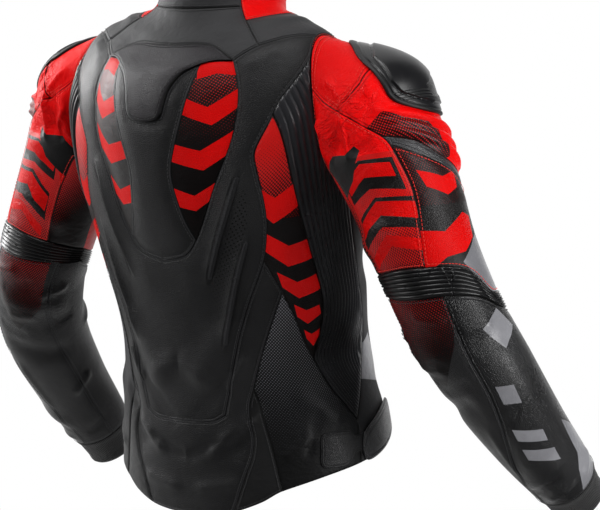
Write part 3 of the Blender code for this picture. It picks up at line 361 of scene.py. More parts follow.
# Large soft folds: ends of the fold's line on its map, half width, height.
BODY_FOLDS = (
    (0.020, 0.470, 0.085, 0.380, 0.020, 0.0035),
    (0.064, 0.560, 0.104, 0.470, 0.014, -0.0040),
    (0.150, 0.470, 0.215, 0.520, 0.018, 0.0040),
    (0.330, 0.330, 0.430, 0.430, 0.024, 0.0050),
    (0.340, 0.500, 0.450, 0.440, 0.022, -0.0050),
)
SLEEVE_FOLDS = (
    (60, 0.030, 112, 0.105, 0.011, -0.0055),
    (84, 0.022, 122, 0.082, 0.010, 0.0045),
    (62, 0.115, 100, 0.085, 0.010, -0.0040),
    (150, 0.215, 60, 0.190, 0.012, 0.0040),
    (-150, 0.300, -70, 0.255, 0.014, 0.0050),
    (-150, 0.352, -85, 0.380, 0.020, -0.0030),
    (170, 0.330, 70, 0.335, 0.012, 0.0040),
    (165, 0.420, 75, 0.395, 0.014, -0.0040),
    (20, 0.520, 110, 0.545, 0.012, 0.0030),
)
print(len(BODY_FOLDS) + len(SLEEVE_FOLDS), "large folds")

# %% Seams on the body map
# Points that several seams share.
HUMP_CORNER, SPINE_TOP, SPINE_FOOT = (0.098, 0.086), (0.064, 0.083), (0.044, 0.281)
YOKE_TOP, YOKE_FOOT = (0.144, 0.029), (0.136, 0.078)
SHARD_TOP, BAND_TOP, BACK_FOOT = (0.120, 0.157), (0.121, 0.305), (0.058, 0.503)
MESH_TOP, MESH_CORNER = (0.146, 0.342), (0.100, 0.466)
SHARD_FOOT, STRETCH_FOOT = (0.190, 0.430), (0.247, 0.522)
HEM_TAIL, HEM_MESH, HEM_SIDE = (0.057, 0.627), (0.116, 0.600), (0.240, 0.576)
HEM_FRONT, HEM_ZIP = (0.356, 0.565), (ZIP_EDGE, 0.556)
SHOULDER_TOP = (0.300, 0.030)


def hole_point(phi):
    """The body-map point of the armhole at the sleeve angle phi, in degrees."""
    c, s = np.cos(np.radians(phi)), np.sin(np.radians(phi))
    u = HOLE_U - np.where(s > 0, HOLE_BACK, HOLE_FRONT) * s
    v = HOLE_V - np.where(c > 0, HOLE_TOP, HOLE_BOTTOM) * c
    return float(u), float(v)


def sleeve_head(phi):
    """w of the armhole on the sleeve map at the angle phi."""
    return HEAD_DROP * (0.5 - 0.5 * np.cos(np.radians(phi))) ** 3


def head_point(phi):
    """The armhole's point on the sleeve map."""
    return phi, float(sleeve_head(phi))


BODY_SEAMS = (
    [(0, COLLAR_TOP), (0, 0), (0, 0.050), (0, 0.141), (0, 0.309), (0, 0.514), (0, 0.634)],
    [(0, COLLAR_TOP), (0.150, COLLAR_TOP), (ZIP_EDGE, COLLAR_TOP), (0.5, COLLAR_TOP)],
    [(0, 0), (0.150, 0)],
    [(0.150, COLLAR_TOP), (0.150, 0), YOKE_TOP],
    [YOKE_TOP, (0.220, 0.030), SHOULDER_TOP, (0.400, 0.030), (ZIP_EDGE, 0.030)],
    [YOKE_TOP, YOKE_FOOT],
    [(0, 0.050), (0.054, 0.052), (0.082, 0.062), HUMP_CORNER],
    [HUMP_CORNER, (0.116, 0.081), YOKE_FOOT, (0.178, 0.084), hole_point(15)],
    [SHOULDER_TOP, (0.296, 0.070), hole_point(-30)],
    [HUMP_CORNER, (0.094, 0.118), (0.085, 0.150), (0.075, 0.183), (0.064, 0.216),
     (0.053, 0.256), SPINE_FOOT, (0.030, 0.300), (0, 0.309)],
    [HUMP_CORNER, (0.080, 0.082), SPINE_TOP],
    [SPINE_TOP, (0.044, 0.090), (0.030, 0.106), (0.025, 0.120), (0.018, 0.137), (0, 0.141)],
    [SPINE_TOP, (0.049, 0.118), (0.032, 0.170), (0.026, 0.200), (0.029, 0.232),
     (0.036, 0.262), SPINE_FOOT],
    [hole_point(45), (0.160, 0.131), (0.134, 0.143), SHARD_TOP, (0.101, 0.188),
     (0.105, 0.212), (0.114, 0.240), (0.121, 0.270), BAND_TOP, (0.105, 0.354),
     (0.092, 0.394), (0.074, 0.454), BACK_FOOT],
    [BACK_FOOT, (0.040, 0.512), (0, 0.514)],
    [SHARD_TOP, (0.132, 0.192), (0.152, 0.244), (0.178, 0.290), (0.196, 0.320),
     (0.211, 0.355), (0.209, 0.388), SHARD_FOOT],
    [BAND_TOP, MESH_TOP, (0.166, 0.378), (0.178, 0.408), SHARD_FOOT],
    [MESH_TOP, (0.132, 0.382), (0.110, 0.440), MESH_CORNER],
    [MESH_CORNER, (0.104, 0.500), (0.110, 0.548), HEM_MESH],
    [MESH_CORNER, (0.090, 0.488), (0.087, 0.510), (0.089, 0.532), (0.085, 0.555),
     (0.074, 0.582), HEM_TAIL],
    [SHARD_FOOT, (0.212, 0.476), STRETCH_FOOT],
    [STRETCH_FOOT, (0.244, 0.548), HEM_SIDE],
    [hole_point(180), (0.268, 0.275), (0.292, 0.312), (0.313, 0.355), (0.317, 0.388),
     (0.302, 0.428), (0.277, 0.474), STRETCH_FOOT],
    [hole_point(-128), (0.335, 0.262), (0.368, 0.330), (0.380, 0.400), (0.374, 0.470),
     (0.362, 0.530), HEM_FRONT],
    [hole_point(-60), (0.360, 0.145), (0.420, 0.155), (ZIP_EDGE, 0.150)],
    [(ZIP_EDGE, COLLAR_TOP), (ZIP_EDGE, 0.030), (ZIP_EDGE, 0.150), HEM_ZIP],
    [(0.5, COLLAR_TOP), (0.5, 0.030), (0.5, 0.150), (0.5, 0.5555)],
    [(0, 0.634), (0.030, 0.632), HEM_TAIL, (0.090, 0.614), HEM_MESH, (0.175, 0.585),
     HEM_SIDE, (0.300, 0.570), HEM_FRONT, (0.420, 0.560), HEM_ZIP, (0.5, 0.5555)],
)

# A point inside each piece says which one it is.
BODY_PIECES = (
    ("collar_back", 0.070, -0.020), ("collar_side", 0.300, 0.000),
    ("yoke_back", 0.060, 0.025), ("yoke_side", 0.200, 0.060),
    ("front_chest", 0.420, 0.090), ("hump_cap", 0.020, 0.080),
    ("hump_spine", 0.012, 0.220), ("hump_window", 0.060, 0.160),
    ("back_harness", 0.130, 0.110), ("back_lower", 0.020, 0.570),
    ("side_tail", 0.096, 0.560), ("side_mesh", 0.150, 0.450),
    ("side_shard", 0.125, 0.250), ("side_stretch", 0.220, 0.330),
    ("front_side", 0.330, 0.450), ("front_body", 0.430, 0.350),
    ("front_zip", 0.494, 0.300),
)
CENTRE_PIECES = ("collar_back", "yoke_back", "hump_cap", "hump_spine", "back_harness",
                 "back_lower", "front_zip")

# The waist's adjuster lies on the panels: a base with its elastic strap, then the tab.
WAIST_BASE = ((0.176, 0.534), (0.200, 0.531), (0.224, 0.533), (0.231, 0.540),
              (0.266, 0.540), (0.266, 0.561), (0.229, 0.562), (0.216, 0.574),
              (0.190, 0.577), (0.170, 0.572), (0.171, 0.552))
WAIST_TAB = ((0.251, 0.540), (0.276, 0.527), (0.310, 0.514), (0.338, 0.508),
             (0.348, 0.519), (0.346, 0.545), (0.330, 0.555), (0.288, 0.568),
             (0.250, 0.574), (0.243, 0.560))
print(len(BODY_SEAMS), "seams and", len(BODY_PIECES), "pieces on the body's half map")

# %% Seams on the sleeve map
SHORT_END, RIB_END, BAND_END = (78, 0.056), (51, 0.104), (47, 0.116)
FRONT_SHORT, FRONT_RIB, FRONT_BAND = (-78, 0.075), (-67, 0.172), (-66, 0.186)


def elbow_edge(column, angles):
    """Points of the elbow band's edge at the given angles."""
    return [(a, float(np.interp(a, ELBOW[:, 0], ELBOW[:, column]))) for a in angles]


def elbow_point(column, angle):
    """One point of the elbow band's edge."""
    return elbow_edge(column, (angle,))[0]


SLEEVE_SEAMS = (
    [head_point(75), (79, 0.032), SHORT_END, (64, 0.083), RIB_END, BAND_END, (44, 0.165),
     (50, 0.215), elbow_point(1, 57)],
    [head_point(-75), (-80, 0.037), FRONT_SHORT, (-70, 0.120), FRONT_RIB, FRONT_BAND,
     (-64, 0.245), elbow_point(1, -62)],
    [SHORT_END, (50, 0.050), (22, 0.044), (-10, 0.050), (-45, 0.066), FRONT_SHORT],
    [RIB_END, (26, 0.119), (-2, 0.143), (-38, 0.163), FRONT_RIB],
    [BAND_END, (18, 0.140), (-8, 0.158), (-30, 0.174), FRONT_BAND],
    [head_point(145), (136, 0.104), (129, 0.128), (126, 0.160), (127, 0.200),
     elbow_point(1, 129)],
    [head_point(-145), (-122, 0.103), (-107, 0.122), (-103, 0.160), (-108, 0.210),
     elbow_point(1, -115)],
    elbow_edge(1, ELBOW[:, 0]),
    elbow_edge(2, ELBOW[:, 0]),
    [elbow_point(2, 50), (50, 0.310), (52, 0.355), (54, 0.393), (60, 0.425), (70, 0.458),
     (86, 0.503), (97, 0.550), (101, CUFF_SEAM)],
    [elbow_point(2, 150), (141, 0.330), (150, 0.400), (156, 0.460), (158, 0.530),
     (158, CUFF_SEAM)],
    [elbow_point(2, -62), (-68, 0.400), (-76, 0.470), (-82, 0.530), (-86, CUFF_SEAM)],
    [(a, CUFF_SEAM) for a in (-180, -133, -86, -40, 6, 54, 101, 130, 158, 180)],
    [(a, CUFF_END) for a in (-180, -133, -86, -40, 6, 54, 101, 130, 158, 180)],
    [head_point(-180), (-180, 0.247), (-180, 0.266), (-180, CUFF_SEAM), (-180, CUFF_END)],
    [head_point(180), (180, 0.247), (180, 0.266), (180, CUFF_SEAM), (180, CUFF_END)],
)

SLEEVE_PIECES = (
    ("sleeve_cap", 0, 0.020), ("sleeve_ribs", 0, 0.110), ("sleeve_band", -5, 0.150),
    ("sleeve_outer", 0, 0.220), ("sleeve_back", 75, 0.170), ("sleeve_front", -85, 0.200),
    ("sleeve_gusset", 170, 0.180), ("sleeve_gusset", -170, 0.180),
    ("elbow_band", 90, 0.260), ("forearm_back", 100, 0.400), ("forearm_outer", 0, 0.450),
    ("forearm_inner", 170, 0.450), ("forearm_inner", -130, 0.450), ("cuff_knit", 0, 0.610),
)

# The hard shoulder cup's outline.
CUP = ((32, 0.062), (27, 0.036), (10, 0.022), (-14, 0.013), (-40, 0.018), (-58, 0.035),
       (-64, 0.060), (-60, 0.086), (-44, 0.101), (-14, 0.100), (9, 0.091), (27, 0.077))

# What lies on the panels: name, its map, outline, clearance above the panels.
OVERLAYS = (
    ("shoulder_cup", "sleeve", CUP, 0.0003),
    ("waist_base", "body", WAIST_BASE, 0.0003),
    ("waist_tab", "body", WAIST_TAB, 0.0030),
)
MAP_SEAMS = {"body": BODY_SEAMS, "sleeve": SLEEVE_SEAMS}
MAP_PIECES = {"body": BODY_PIECES, "sleeve": SLEEVE_PIECES}
print(len(SLEEVE_SEAMS), "seams on the sleeve map,", len(OVERLAYS), "overlays")


# %% Smooth curves
def curve_through(table, x):
    """Columns 1.. of a table as smooth functions of its column 0, at every x."""
    knots, values = table[:, 0], table[:, 1:]
    slopes = np.gradient(values, knots, axis=0)
    x = np.clip(np.asarray(x, float), knots[0], knots[-1])
    i = np.clip(np.searchsorted(knots, x, side="right") - 1, 0, len(knots) - 2)
    h = (knots[i + 1] - knots[i])[..., None]
    t = (x[..., None] - knots[i][..., None]) / h
    return ((2 * t**3 - 3 * t**2 + 1) * values[i] + (t**3 - 2 * t**2 + t) * h * slopes[i]
            + (3 * t**2 - 2 * t**3) * values[i + 1] + (t**3 - t**2) * h * slopes[i + 1])


def smooth_line(points, step, closed):
    """A Catmull-Rom line through the points that keeps each of them as a vertex."""
    p = np.array(points, float)
    before = p[-1] if closed else 2 * p[0] - p[1]
    after = [p[0], p[1]] if closed else [2 * p[-1] - p[-2]]
    p = np.vstack([before, p, *after])
    line = []
    for a, b, c, d in zip(p, p[1:], p[2:], p[3:]):
        n = max(1, round(float(np.linalg.norm(c - b)) / step))
        ta = 0.5 * (c - a) * min(1, 2 * np.linalg.norm(c - b) / np.linalg.norm(c - a))
        tb = 0.5 * (d - b) * min(1, 2 * np.linalg.norm(c - b) / np.linalg.norm(d - b))
        for k in range(n):
            t = k / n
            line.append((2 * t**3 - 3 * t**2 + 1) * b + (t**3 - 2 * t**2 + t) * ta
                        + (3 * t**2 - 2 * t**3) * c + (t**3 - t**2) * tb)
    return line if closed else line + [p[-2]]


def bump(distance, half):
    """A soft hill of height 1 that fades out at about twice its half width."""
    return np.exp(-np.square(distance / half))


def fold_height(a, b, folds, scale=1.0):
    """The sum of the soft folds at map points (a, b), with a in units of scale metres."""
    total = np.zeros(np.broadcast(a, b).shape)
    for a0, b0, a1, b1, half, height in folds:
        start = np.array([a0 * scale, b0])
        run = np.array([a1 * scale, b1]) - start
        length = np.linalg.norm(run)
        x, y = a * scale - start[0], b - start[1]
        along = (x * run[0] + y * run[1]) / length**2
        across = (x * run[1] - y * run[0]) / length
        fade = np.clip(np.minimum(along, 1 - along) * 4 + 0.25, 0, 1)
        total += height * bump(across, half) * fade * fade * (3 - 2 * fade)
    return total


# %% The two surfaces
def body_point(u, v, side):
    """The body map's half laid on the form, without relief; side -1 is the right half."""
    sx, sy, sz, by, bz, fy, fz, k = np.moveaxis(curve_through(BODY, v), -1, 0)
    angle = pi * np.asarray(u, float) / HALF_GIRTH
    c, s = np.cos(angle), np.sin(angle)
    swell = 1 + k * np.sin(2 * angle) ** 2
    x = sx * s * swell
    y = sy + np.where(c > 0, (by - sy) * c, (sy - fy) * c) * swell
    z = sz + np.where(c > 0, bz - sz, fz - sz) * c * c
    t = np.clip((v - TILT_START) / TILT_RUN, 0, 1)
    z -= side * HEM_TILT * x * t * t * (3 - 2 * t)
    return np.stack([x, y, z], -1)


def arm_ring(phi, w, side):
    """A point of the arm below the shoulder, at the angle phi in degrees."""
    arm = ARMS[side]

    def centre(w):
        return curve_through(arm, w)[..., :3]
    e = 1e-3
    along = centre(np.minimum(w + e, arm[-1, 0])) - centre(np.maximum(w - e, arm[0, 0]))
    along /= np.linalg.norm(along, axis=-1, keepdims=True)
    out = np.array([1.0, 0, 0]) - along[..., :1] * along
    out /= np.linalg.norm(out, axis=-1, keepdims=True)
    back = np.cross(along, out)
    back *= np.where(back[..., 1:2] < 0, -1, 1)
    radii = curve_through(arm, w)[..., 3:]
    a = np.radians(phi)[..., None]
    return centre(w) + out * radii[..., :1] * np.cos(a) + back * radii[..., 1:] * np.sin(a)


def sleeve_point(phi, w, side):
    """The sleeve map laid on the form, without relief; it starts on the armhole.

    Both arms are worked out on the left; side is 1 for the left arm, -1 for the right.
    """
    phi, w = np.broadcast_arrays(np.asarray(phi, float), np.asarray(w, float))
    c, s = np.cos(np.radians(phi)), np.sin(np.radians(phi))
    hole = body_point(HOLE_U - np.where(s > 0, HOLE_BACK, HOLE_FRONT) * s,
                      HOLE_V - np.where(c > 0, HOLE_TOP, HOLE_BOTTOM) * c, 1)
    under = (0.5 - 0.5 * c) ** 3
    head = HEAD_DROP * under
    length = BLEND_TOP + (BLEND_LOW - BLEND_TOP) * under
    ring = arm_ring(phi, head + length, side)
    chord = ring - hole
    slope = arm_ring(phi, head + length + 1e-3, side) - ring
    slope *= (np.linalg.norm(chord, axis=-1) / np.linalg.norm(slope, axis=-1))[..., None]
    t = np.clip((w - head) / length, 0, 1)[..., None]
    blend = ((2 * t**3 - 3 * t**2 + 1) * hole + (t**3 - 2 * t**2 + t) * chord
             + (3 * t**2 - 2 * t**3) * ring + (t**3 - t**2) * slope)
    return np.where(t < 1, blend, arm_ring(phi, np.maximum(w, head + length), side))


def body_relief(u, v):
    """Height of the body's panels above the form: the hump, its padding and the folds."""
    half, height = np.moveaxis(curve_through(HUMP, v), -1, 0)
    inside = (v > HUMP[0, 0]) & (v < HUMP[-1, 0])
    share = np.abs(u) / half
    h = np.where(inside, height * (1 - np.clip(share, 0, 1) ** 2.4) ** 1.2, 0)
    beyond = np.hypot(np.maximum(np.abs(u) - half, 0), np.maximum(v - 0.309, 0))
    lip = HUMP_LIP * np.minimum(share**2, 1) * bump(beyond, LIP_REACH)
    h += lip * np.clip((v - 0.055) / 0.03, 0, 1)
    hole = np.hypot((u - HOLE_U) / HOLE_BACK, (v - HOLE_V) / HOLE_BOTTOM)
    return h + fold_height(u, v, BODY_FOLDS) * np.clip((hole - 1) * 2, 0, 1)


def sleeve_relief(phi, w):
    """Height of the sleeve's panels above the form: shoulder padding, folds, cuff."""
    phi0, w0, reach, rise = CUP_PAD
    start = np.clip((w - sleeve_head(phi)) / 0.03, 0, 1)
    h = rise * bump(np.hypot((phi - phi0) * ARC, w - w0), reach) * start
    top, low = np.moveaxis(curve_through(ELBOW, phi), -1, 0)
    clear = np.clip(np.maximum(top - w, w - low) / 0.02, 0, 1)
    h += fold_height(phi, w, SLEEVE_FOLDS, ARC) * start * clear
    return h - 0.0025 * np.clip((w - CUFF_SEAM) / 0.008, 0, 1)


def rib_crest(row, phi):
    """w of a shoulder rib's crest at the angle phi."""
    return np.interp(-phi, [-p for p in RIB_PHI], row)


# Each map: its surface, metres for one unit of its first coordinate, and +1 if a
# counter-clockwise triangle on it faces out.
MAPS = {"body": (body_point, 1.0, 1), "sleeve": (sleeve_point, ARC, -1)}
print("neck seam at the centre back", body_point(0.0, 0.0, 1).round(3))

# %% [markdown]
# ## Cutting the cloth
#
# Each map is cut along its seams into small triangles: dense lines along the seams, two rows
# of points beside them for the rolled edge, rows along every rib, and an even lattice over the
# rest. A constrained triangulation never crosses a seam, so each piece gets a clean edge. The
# prints are only outlines on the same maps.

# %% Sizes of the fine cut
SEAM_DETAIL = 0.0040        # spacing along a seam
EDGE_ROWS = (0.0012, 0.0028, 0.0056)  # rows of points beside a seam, for its rolled edge
PLATE_ROWS = (0.0008, 0.0016, 0.0036, 0.0045, 0.0054, 0.0080)
# The cup's raised plate and the well of its grille, as corners on the sleeve map.
CUP_PLATE = ((24, 0.060), (18, 0.040), (4, 0.032), (-16, 0.024), (-38, 0.027), (-52, 0.040),
             (-56, 0.060), (-52, 0.078), (-40, 0.090), (-14, 0.089), (6, 0.080), (19, 0.070))
CUP_WELL = ((-14, 0.082), (-8, 0.068), (-42, 0.054), (-49, 0.062), (-46, 0.076), (-36, 0.084))
CUP_ROWS, CUP_REACH = (-0.0015, -0.0008, 0.0010, 0.0016), 0.022  # rows round them; half width
LATTICE_DETAIL = 0.0048     # spacing of the lattice
ROLL_DEPTH, ROLL_REACH = 0.0011, 0.0016  # how far a seam's edge is pulled down, and its reach
PUFF_DEPTH, PUFF_REACH = 0.0014, 0.0065  # the soft crown of the panel beside it
RIB_PITCH_AT = (0.12, 0.30, 0.46)   # the side panel's accordion ribs: v, and their width there
RIB_PITCH = (0.0086, 0.0082, 0.0060)
RIB_HEIGHT = 0.0026
RIB_CALM = 0.012            # over this width they flatten towards the front seam
ELBOW_ROWS, ELBOW_HEIGHT = 7, 0.0022    # accordion ribs of the elbow band
print("lattice", LATTICE_DETAIL, "m")

# %% Creases
# The creases that the worn jacket shows besides its largest folds: both coordinates of the
# soft start, and of the end, half width, height.
BODY_CREASES = (
    (0.012, 0.520, 0.066, 0.455, 0.0070, -0.0016),
    (0.030, 0.555, 0.090, 0.505, 0.0080, 0.0020),
    (0.000, 0.560, 0.055, 0.535, 0.0060, -0.0014),
    (0.066, 0.470, 0.098, 0.425, 0.0060, 0.0016),
    (0.072, 0.520, 0.112, 0.480, 0.0060, -0.0014),
    (0.010, 0.600, 0.070, 0.590, 0.0080, 0.0012),
    (0.000, 0.430, 0.060, 0.470, 0.0120, 0.0010),
    (0.120, 0.560, 0.170, 0.530, 0.0070, 0.0012),
    (0.150, 0.560, 0.180, 0.500, 0.0060, -0.0012),
    (0.110, 0.100, 0.160, 0.090, 0.0080, 0.0010),
    (0.150, 0.040, 0.280, 0.060, 0.0090, 0.0012),
    (0.350, 0.180, 0.430, 0.220, 0.0110, 0.0009),
    (0.350, 0.260, 0.470, 0.300, 0.0120, -0.0009),
    (0.390, 0.440, 0.480, 0.420, 0.0120, 0.0009),
    (0.400, 0.500, 0.480, 0.520, 0.0110, -0.0008),
    (0.360, 0.060, 0.440, 0.110, 0.0100, 0.0007),
)
SLEEVE_CREASES = (
    (70, 0.012, 96, 0.070, 0.0040, -0.0022),
    (58, 0.020, 80, 0.078, 0.0045, 0.0020),
    (96, 0.035, 108, 0.098, 0.0034, 0.0020),
    (88, 0.046, 100, 0.100, 0.0030, -0.0020),
    (76, 0.062, 92, 0.112, 0.0034, 0.0018),
    (104, 0.060, 112, 0.104, 0.0028, -0.0018),
    (44, 0.030, 58, 0.086, 0.0060, -0.0012),
    (30, 0.040, 52, 0.062, 0.0050, 0.0012),
    (60, 0.098, 84, 0.108, 0.0034, -0.0018),
    (64, 0.128, 98, 0.140, 0.0050, 0.0012),
    (58, 0.150, 104, 0.168, 0.0050, -0.0014),
    (70, 0.205, 112, 0.190, 0.0060, 0.0014),
    (60, 0.235, 108, 0.222, 0.0045, -0.0014),
    (96, 0.292, 60, 0.306, 0.0050, 0.0014),
    (120, 0.300, 76, 0.322, 0.0050, -0.0014),
    (128, 0.345, 84, 0.352, 0.0070, 0.0014),
    (110, 0.380, 66, 0.372, 0.0060, -0.0012),
    (50, 0.318, 8, 0.330, 0.0060, 0.0012),
    (44, 0.340, -8, 0.356, 0.0070, -0.0012),
    (80, 0.430, 92, 0.520, 0.0060, 0.0012),
    (30, 0.420, 70, 0.440, 0.0060, -0.0010),
    (40, 0.545, 96, 0.556, 0.0050, -0.0014),
    (20, 0.566, 84, 0.574, 0.0045, 0.0012),
    (-40, 0.560, 10, 0.570, 0.0060, 0.0012),
    (-130, 0.290, -70, 0.262, 0.0060, 0.0018),
    (-140, 0.330, -84, 0.318, 0.0060, -0.0016),
    (-160, 0.400, -100, 0.380, 0.0070, 0.0014),
    (168, 0.300, 130, 0.316, 0.0050, 0.0016),
    (176, 0.350, 134, 0.362, 0.0060, -0.0014),
    (178, 0.480, 138, 0.500, 0.0060, 0.0012),
    (170, 0.560, 120, 0.566, 0.0050, -0.0012),
)
MAP_CREASES = {"body": BODY_CREASES, "sleeve": SLEEVE_CREASES}
print(len(BODY_CREASES) + len(SLEEVE_CREASES), "creases")

# %% Prints
# The prints: map, piece, finish, outlines. A later row lies over an earlier one. The design is
# a plain one of chevrons and slanted bars.
PRINTS = (
    ("body", "hump_window", "red ink", (
        ((0.062, 0.080), (0.102, 0.088), (0.096, 0.104), (0.080, 0.098), (0.060, 0.100)),
        ((0.042, 0.114), (0.066, 0.132), (0.096, 0.118), (0.093, 0.136), (0.066, 0.152),
         (0.038, 0.132)),
        ((0.028, 0.166), (0.054, 0.178), (0.084, 0.160), (0.078, 0.184), (0.055, 0.200),
         (0.024, 0.186)),
        ((0.026, 0.218), (0.046, 0.228), (0.066, 0.214), (0.058, 0.236), (0.046, 0.246),
         (0.028, 0.240)))),
    ("body", "side_shard", "black ink", (
        ((0.090, 0.262), (0.200, 0.262), (0.230, 0.440), (0.140, 0.440), (0.090, 0.330)),)),
    ("body", "side_shard", "red ink", (
        ((0.098, 0.222), (0.126, 0.240), (0.150, 0.228), (0.160, 0.250), (0.128, 0.266),
         (0.100, 0.246)),
        ((0.116, 0.274), (0.150, 0.290), (0.182, 0.284), (0.192, 0.304), (0.152, 0.312),
         (0.120, 0.294)),
        ((0.138, 0.318), (0.166, 0.330), (0.196, 0.322), (0.206, 0.340), (0.170, 0.350),
         (0.146, 0.336)),
        ((0.163, 0.358), (0.182, 0.366), (0.204, 0.360), (0.208, 0.372), (0.184, 0.384),
         (0.168, 0.374)),
        ((0.178, 0.392), (0.190, 0.398), (0.206, 0.392), (0.204, 0.402), (0.192, 0.414),
         (0.182, 0.404)))),
    ("body", "front_side", "grey film", (
        ((0.298, 0.426), (0.336, 0.414), (0.352, 0.440), (0.360, 0.470), (0.334, 0.482),
         (0.280, 0.470)),)),
    ("body", "back_harness", "punched", (
        ((0.094, 0.222), (0.099, 0.262), (0.082, 0.350), (0.066, 0.378), (0.060, 0.346),
         (0.078, 0.272)),)),
    ("sleeve", "sleeve_ribs", "dots", (
        ((42, 0.080), (60, 0.090), (56, 0.130), (4, 0.150), (-16, 0.146), (2, 0.108),
         (24, 0.096)),)),
    ("sleeve", "sleeve_outer", "red ink", (
        ((34, 0.150), (8, 0.164), (-16, 0.160), (-10, 0.178), (8, 0.184), (30, 0.170)),)),
    ("sleeve", "sleeve_outer", "black ink", (
        ((60, 0.186), (10, 0.194), (-80, 0.196), (-80, 0.232), (60, 0.232)),)),
    ("sleeve", "sleeve_outer", "red ink", (
        ((66, 0.208), (24, 0.222), (-8, 0.206), (-24, 0.212), (-18, 0.238), (6, 0.252),
         (30, 0.250), (66, 0.262)),)),
    ("sleeve", "sleeve_outer", "grey film", (
        ((-18, 0.240), (-60, 0.224), (-80, 0.320), (-20, 0.320), (14, 0.262)),)),
    ("sleeve", "sleeve_back", "dots", (
        ((36, 0.126), (76, 0.113), (104, 0.108), (140, 0.200), (130, 0.280), (40, 0.280)),)),
    ("sleeve", "sleeve_back", "black ink", (
        ((50, 0.128), (82, 0.116), (112, 0.128), (116, 0.160), (84, 0.150), (50, 0.166)),)),
    ("sleeve", "sleeve_back", "red ink", (
        ((54, 0.132), (82, 0.120), (112, 0.133), (112, 0.148), (83, 0.136), (54, 0.148)),)),
    ("sleeve", "sleeve_back", "black ink", (
        ((44, 0.176), (84, 0.162), (116, 0.180), (120, 0.214), (84, 0.197), (44, 0.212)),)),
    ("sleeve", "sleeve_back", "red ink", (
        ((46, 0.181), (84, 0.167), (116, 0.185), (117, 0.203), (84, 0.184), (47, 0.200)),
        ((50, 0.222), (84, 0.206), (118, 0.224), (118, 0.236), (84, 0.219), (50, 0.235)))),
    # This gusset print's black is partly the gusset's own colour and partly painted shade under
    # the arm.
    ("sleeve", "sleeve_back", "gusset", (
        ((150, 0.092), (112, 0.097), (92, 0.104), (80, 0.100), (77, 0.107), (87, 0.119),
         (98, 0.133), (126, 0.149), (150, 0.160)),)),
    ("sleeve", "forearm_back", "dots", (
        ((30, 0.262), (140, 0.262), (132, 0.330), (100, 0.372), (60, 0.330), (44, 0.300)),)),
    ("sleeve", "forearm_outer", "grey film", (
        ((24, 0.330), (-8, 0.322), (-24, 0.352), (8, 0.362)),
        ((44, 0.388), (24, 0.398), (26, 0.420), (46, 0.410)),
        ((54, 0.442), (20, 0.466), (22, 0.484), (56, 0.460)),
        ((58, 0.474), (20, 0.500), (22, 0.520), (60, 0.494)),
        ((-16, 0.486), (-44, 0.520), (-44, 0.600), (30, 0.600), (8, 0.556), (-8, 0.540)))),
)

# Where leather is crumpled by wear: map, first and second coordinate, reach, strength.
WORN = (
    ("sleeve", 92, 0.075, 0.040, 1.0), ("sleeve", 60, 0.060, 0.030, 0.5),
    ("sleeve", 100, 0.190, 0.050, 0.5), ("sleeve", 90, 0.240, 0.030, 0.7),
    ("sleeve", 70, 0.310, 0.032, 0.6), ("sleeve", 0, 0.345, 0.034, 0.6),
    ("sleeve", -100, 0.270, 0.050, 0.8), ("sleeve", 150, 0.330, 0.050, 0.8),
    ("sleeve", -20, 0.560, 0.040, 0.5), ("sleeve", 80, 0.555, 0.040, 0.7),
    ("sleeve", 0, 0.215, 0.030, 0.5), ("sleeve", -90, 0.100, 0.050, 0.8),
    ("body", 0.430, 0.450, 0.080, 0.4), ("body", 0.400, 0.180, 0.060, 0.4),
)

# Where a print of dots fades: piece, share of ink at a first point, and at a second point.
FADES = {
    "hump_window": ((0.092, 0.096, 0.36), (0.060, 0.165, 0.06)),
    "side_shard": ((0.122, 0.180, 0.88), (0.140, 0.262, 0.22)),
    "sleeve_ribs": ((30, 0.085, 0.42), (20, 0.140, 0.26)),
    "sleeve_outer": ((44, 0.135, 0.20), (0, 0.200, 0.06)),
    "sleeve_back": ((90, 0.125, 0.90), (70, 0.245, 0.50)),
    "sleeve_gusset": ((128, 0.170, 0.50), (158, 0.200, 0.00)),
    "forearm_back": ((100, 0.275, 0.34), (92, 0.345, 0.02)),
    "side_mesh": ((0.135, 0.360, 0.50), (0.150, 0.560, 0.03)),
}
print(sum(len(shapes) for *_, shapes in PRINTS), "printed shapes")


# %% Read a seam and a rib from the tables
def dense_line(points, scale, closed=False):
    """A smooth seam through map points at the fine spacing."""
    line = smooth_line([(a * scale, b) for a, b in points], SEAM_DETAIL, closed)
    line = np.array([(p[0] / scale, p[1]) for p in line])
    return np.vstack([line, line[:1]]) if closed else line


def rib_pitch(v):
    """Width of one rib of the side's stretch panel; the ribs are finer towards the waist."""
    return np.interp(v, RIB_PITCH_AT, RIB_PITCH)


def paced(x, first, last, scale, lines):
    """Places along a ribbed panel, closer together where its ribs run close together."""
    run = np.diff(x) * scale
    step = np.hypot(run, np.diff((first + last) / 2))
    pitch = np.maximum((last - first)[1:] * run / step / lines, 0.0008)
    pace = np.concatenate([[0], np.cumsum(step / pitch / 1.8)])
    return np.interp(np.arange(0, pace[-1]), pace, x)


def body_rows():
    """Rows of extra points along the side panel's ribs and along the darts."""
    rows = []
    v = np.arange(0.116, 0.520, 0.0022)
    left, right = np.moveaxis(curve_through(STRETCH, v), -1, 0)
    for k in range(1, 90):
        row = np.stack([left + rib_pitch(v) * k / 6, v], -1)
        rows.append(row[row[:, 0] < right - 0.0008])
    for u0, v0, u1, v1 in DARTS:
        run = np.array([u1 - u0, v1 - v0])
        side = np.array([run[1], -run[0]]) / np.linalg.norm(run)
        t = np.linspace(0, 1, 90)[:, None]
        for offset in (-0.016, -0.011, -0.007, -0.0035, -0.0015, 0, 0.0012, 0.0025, 0.004, 0.007):
            rows.append(np.array([u0, v0]) + run * t + side * offset)
    return rows


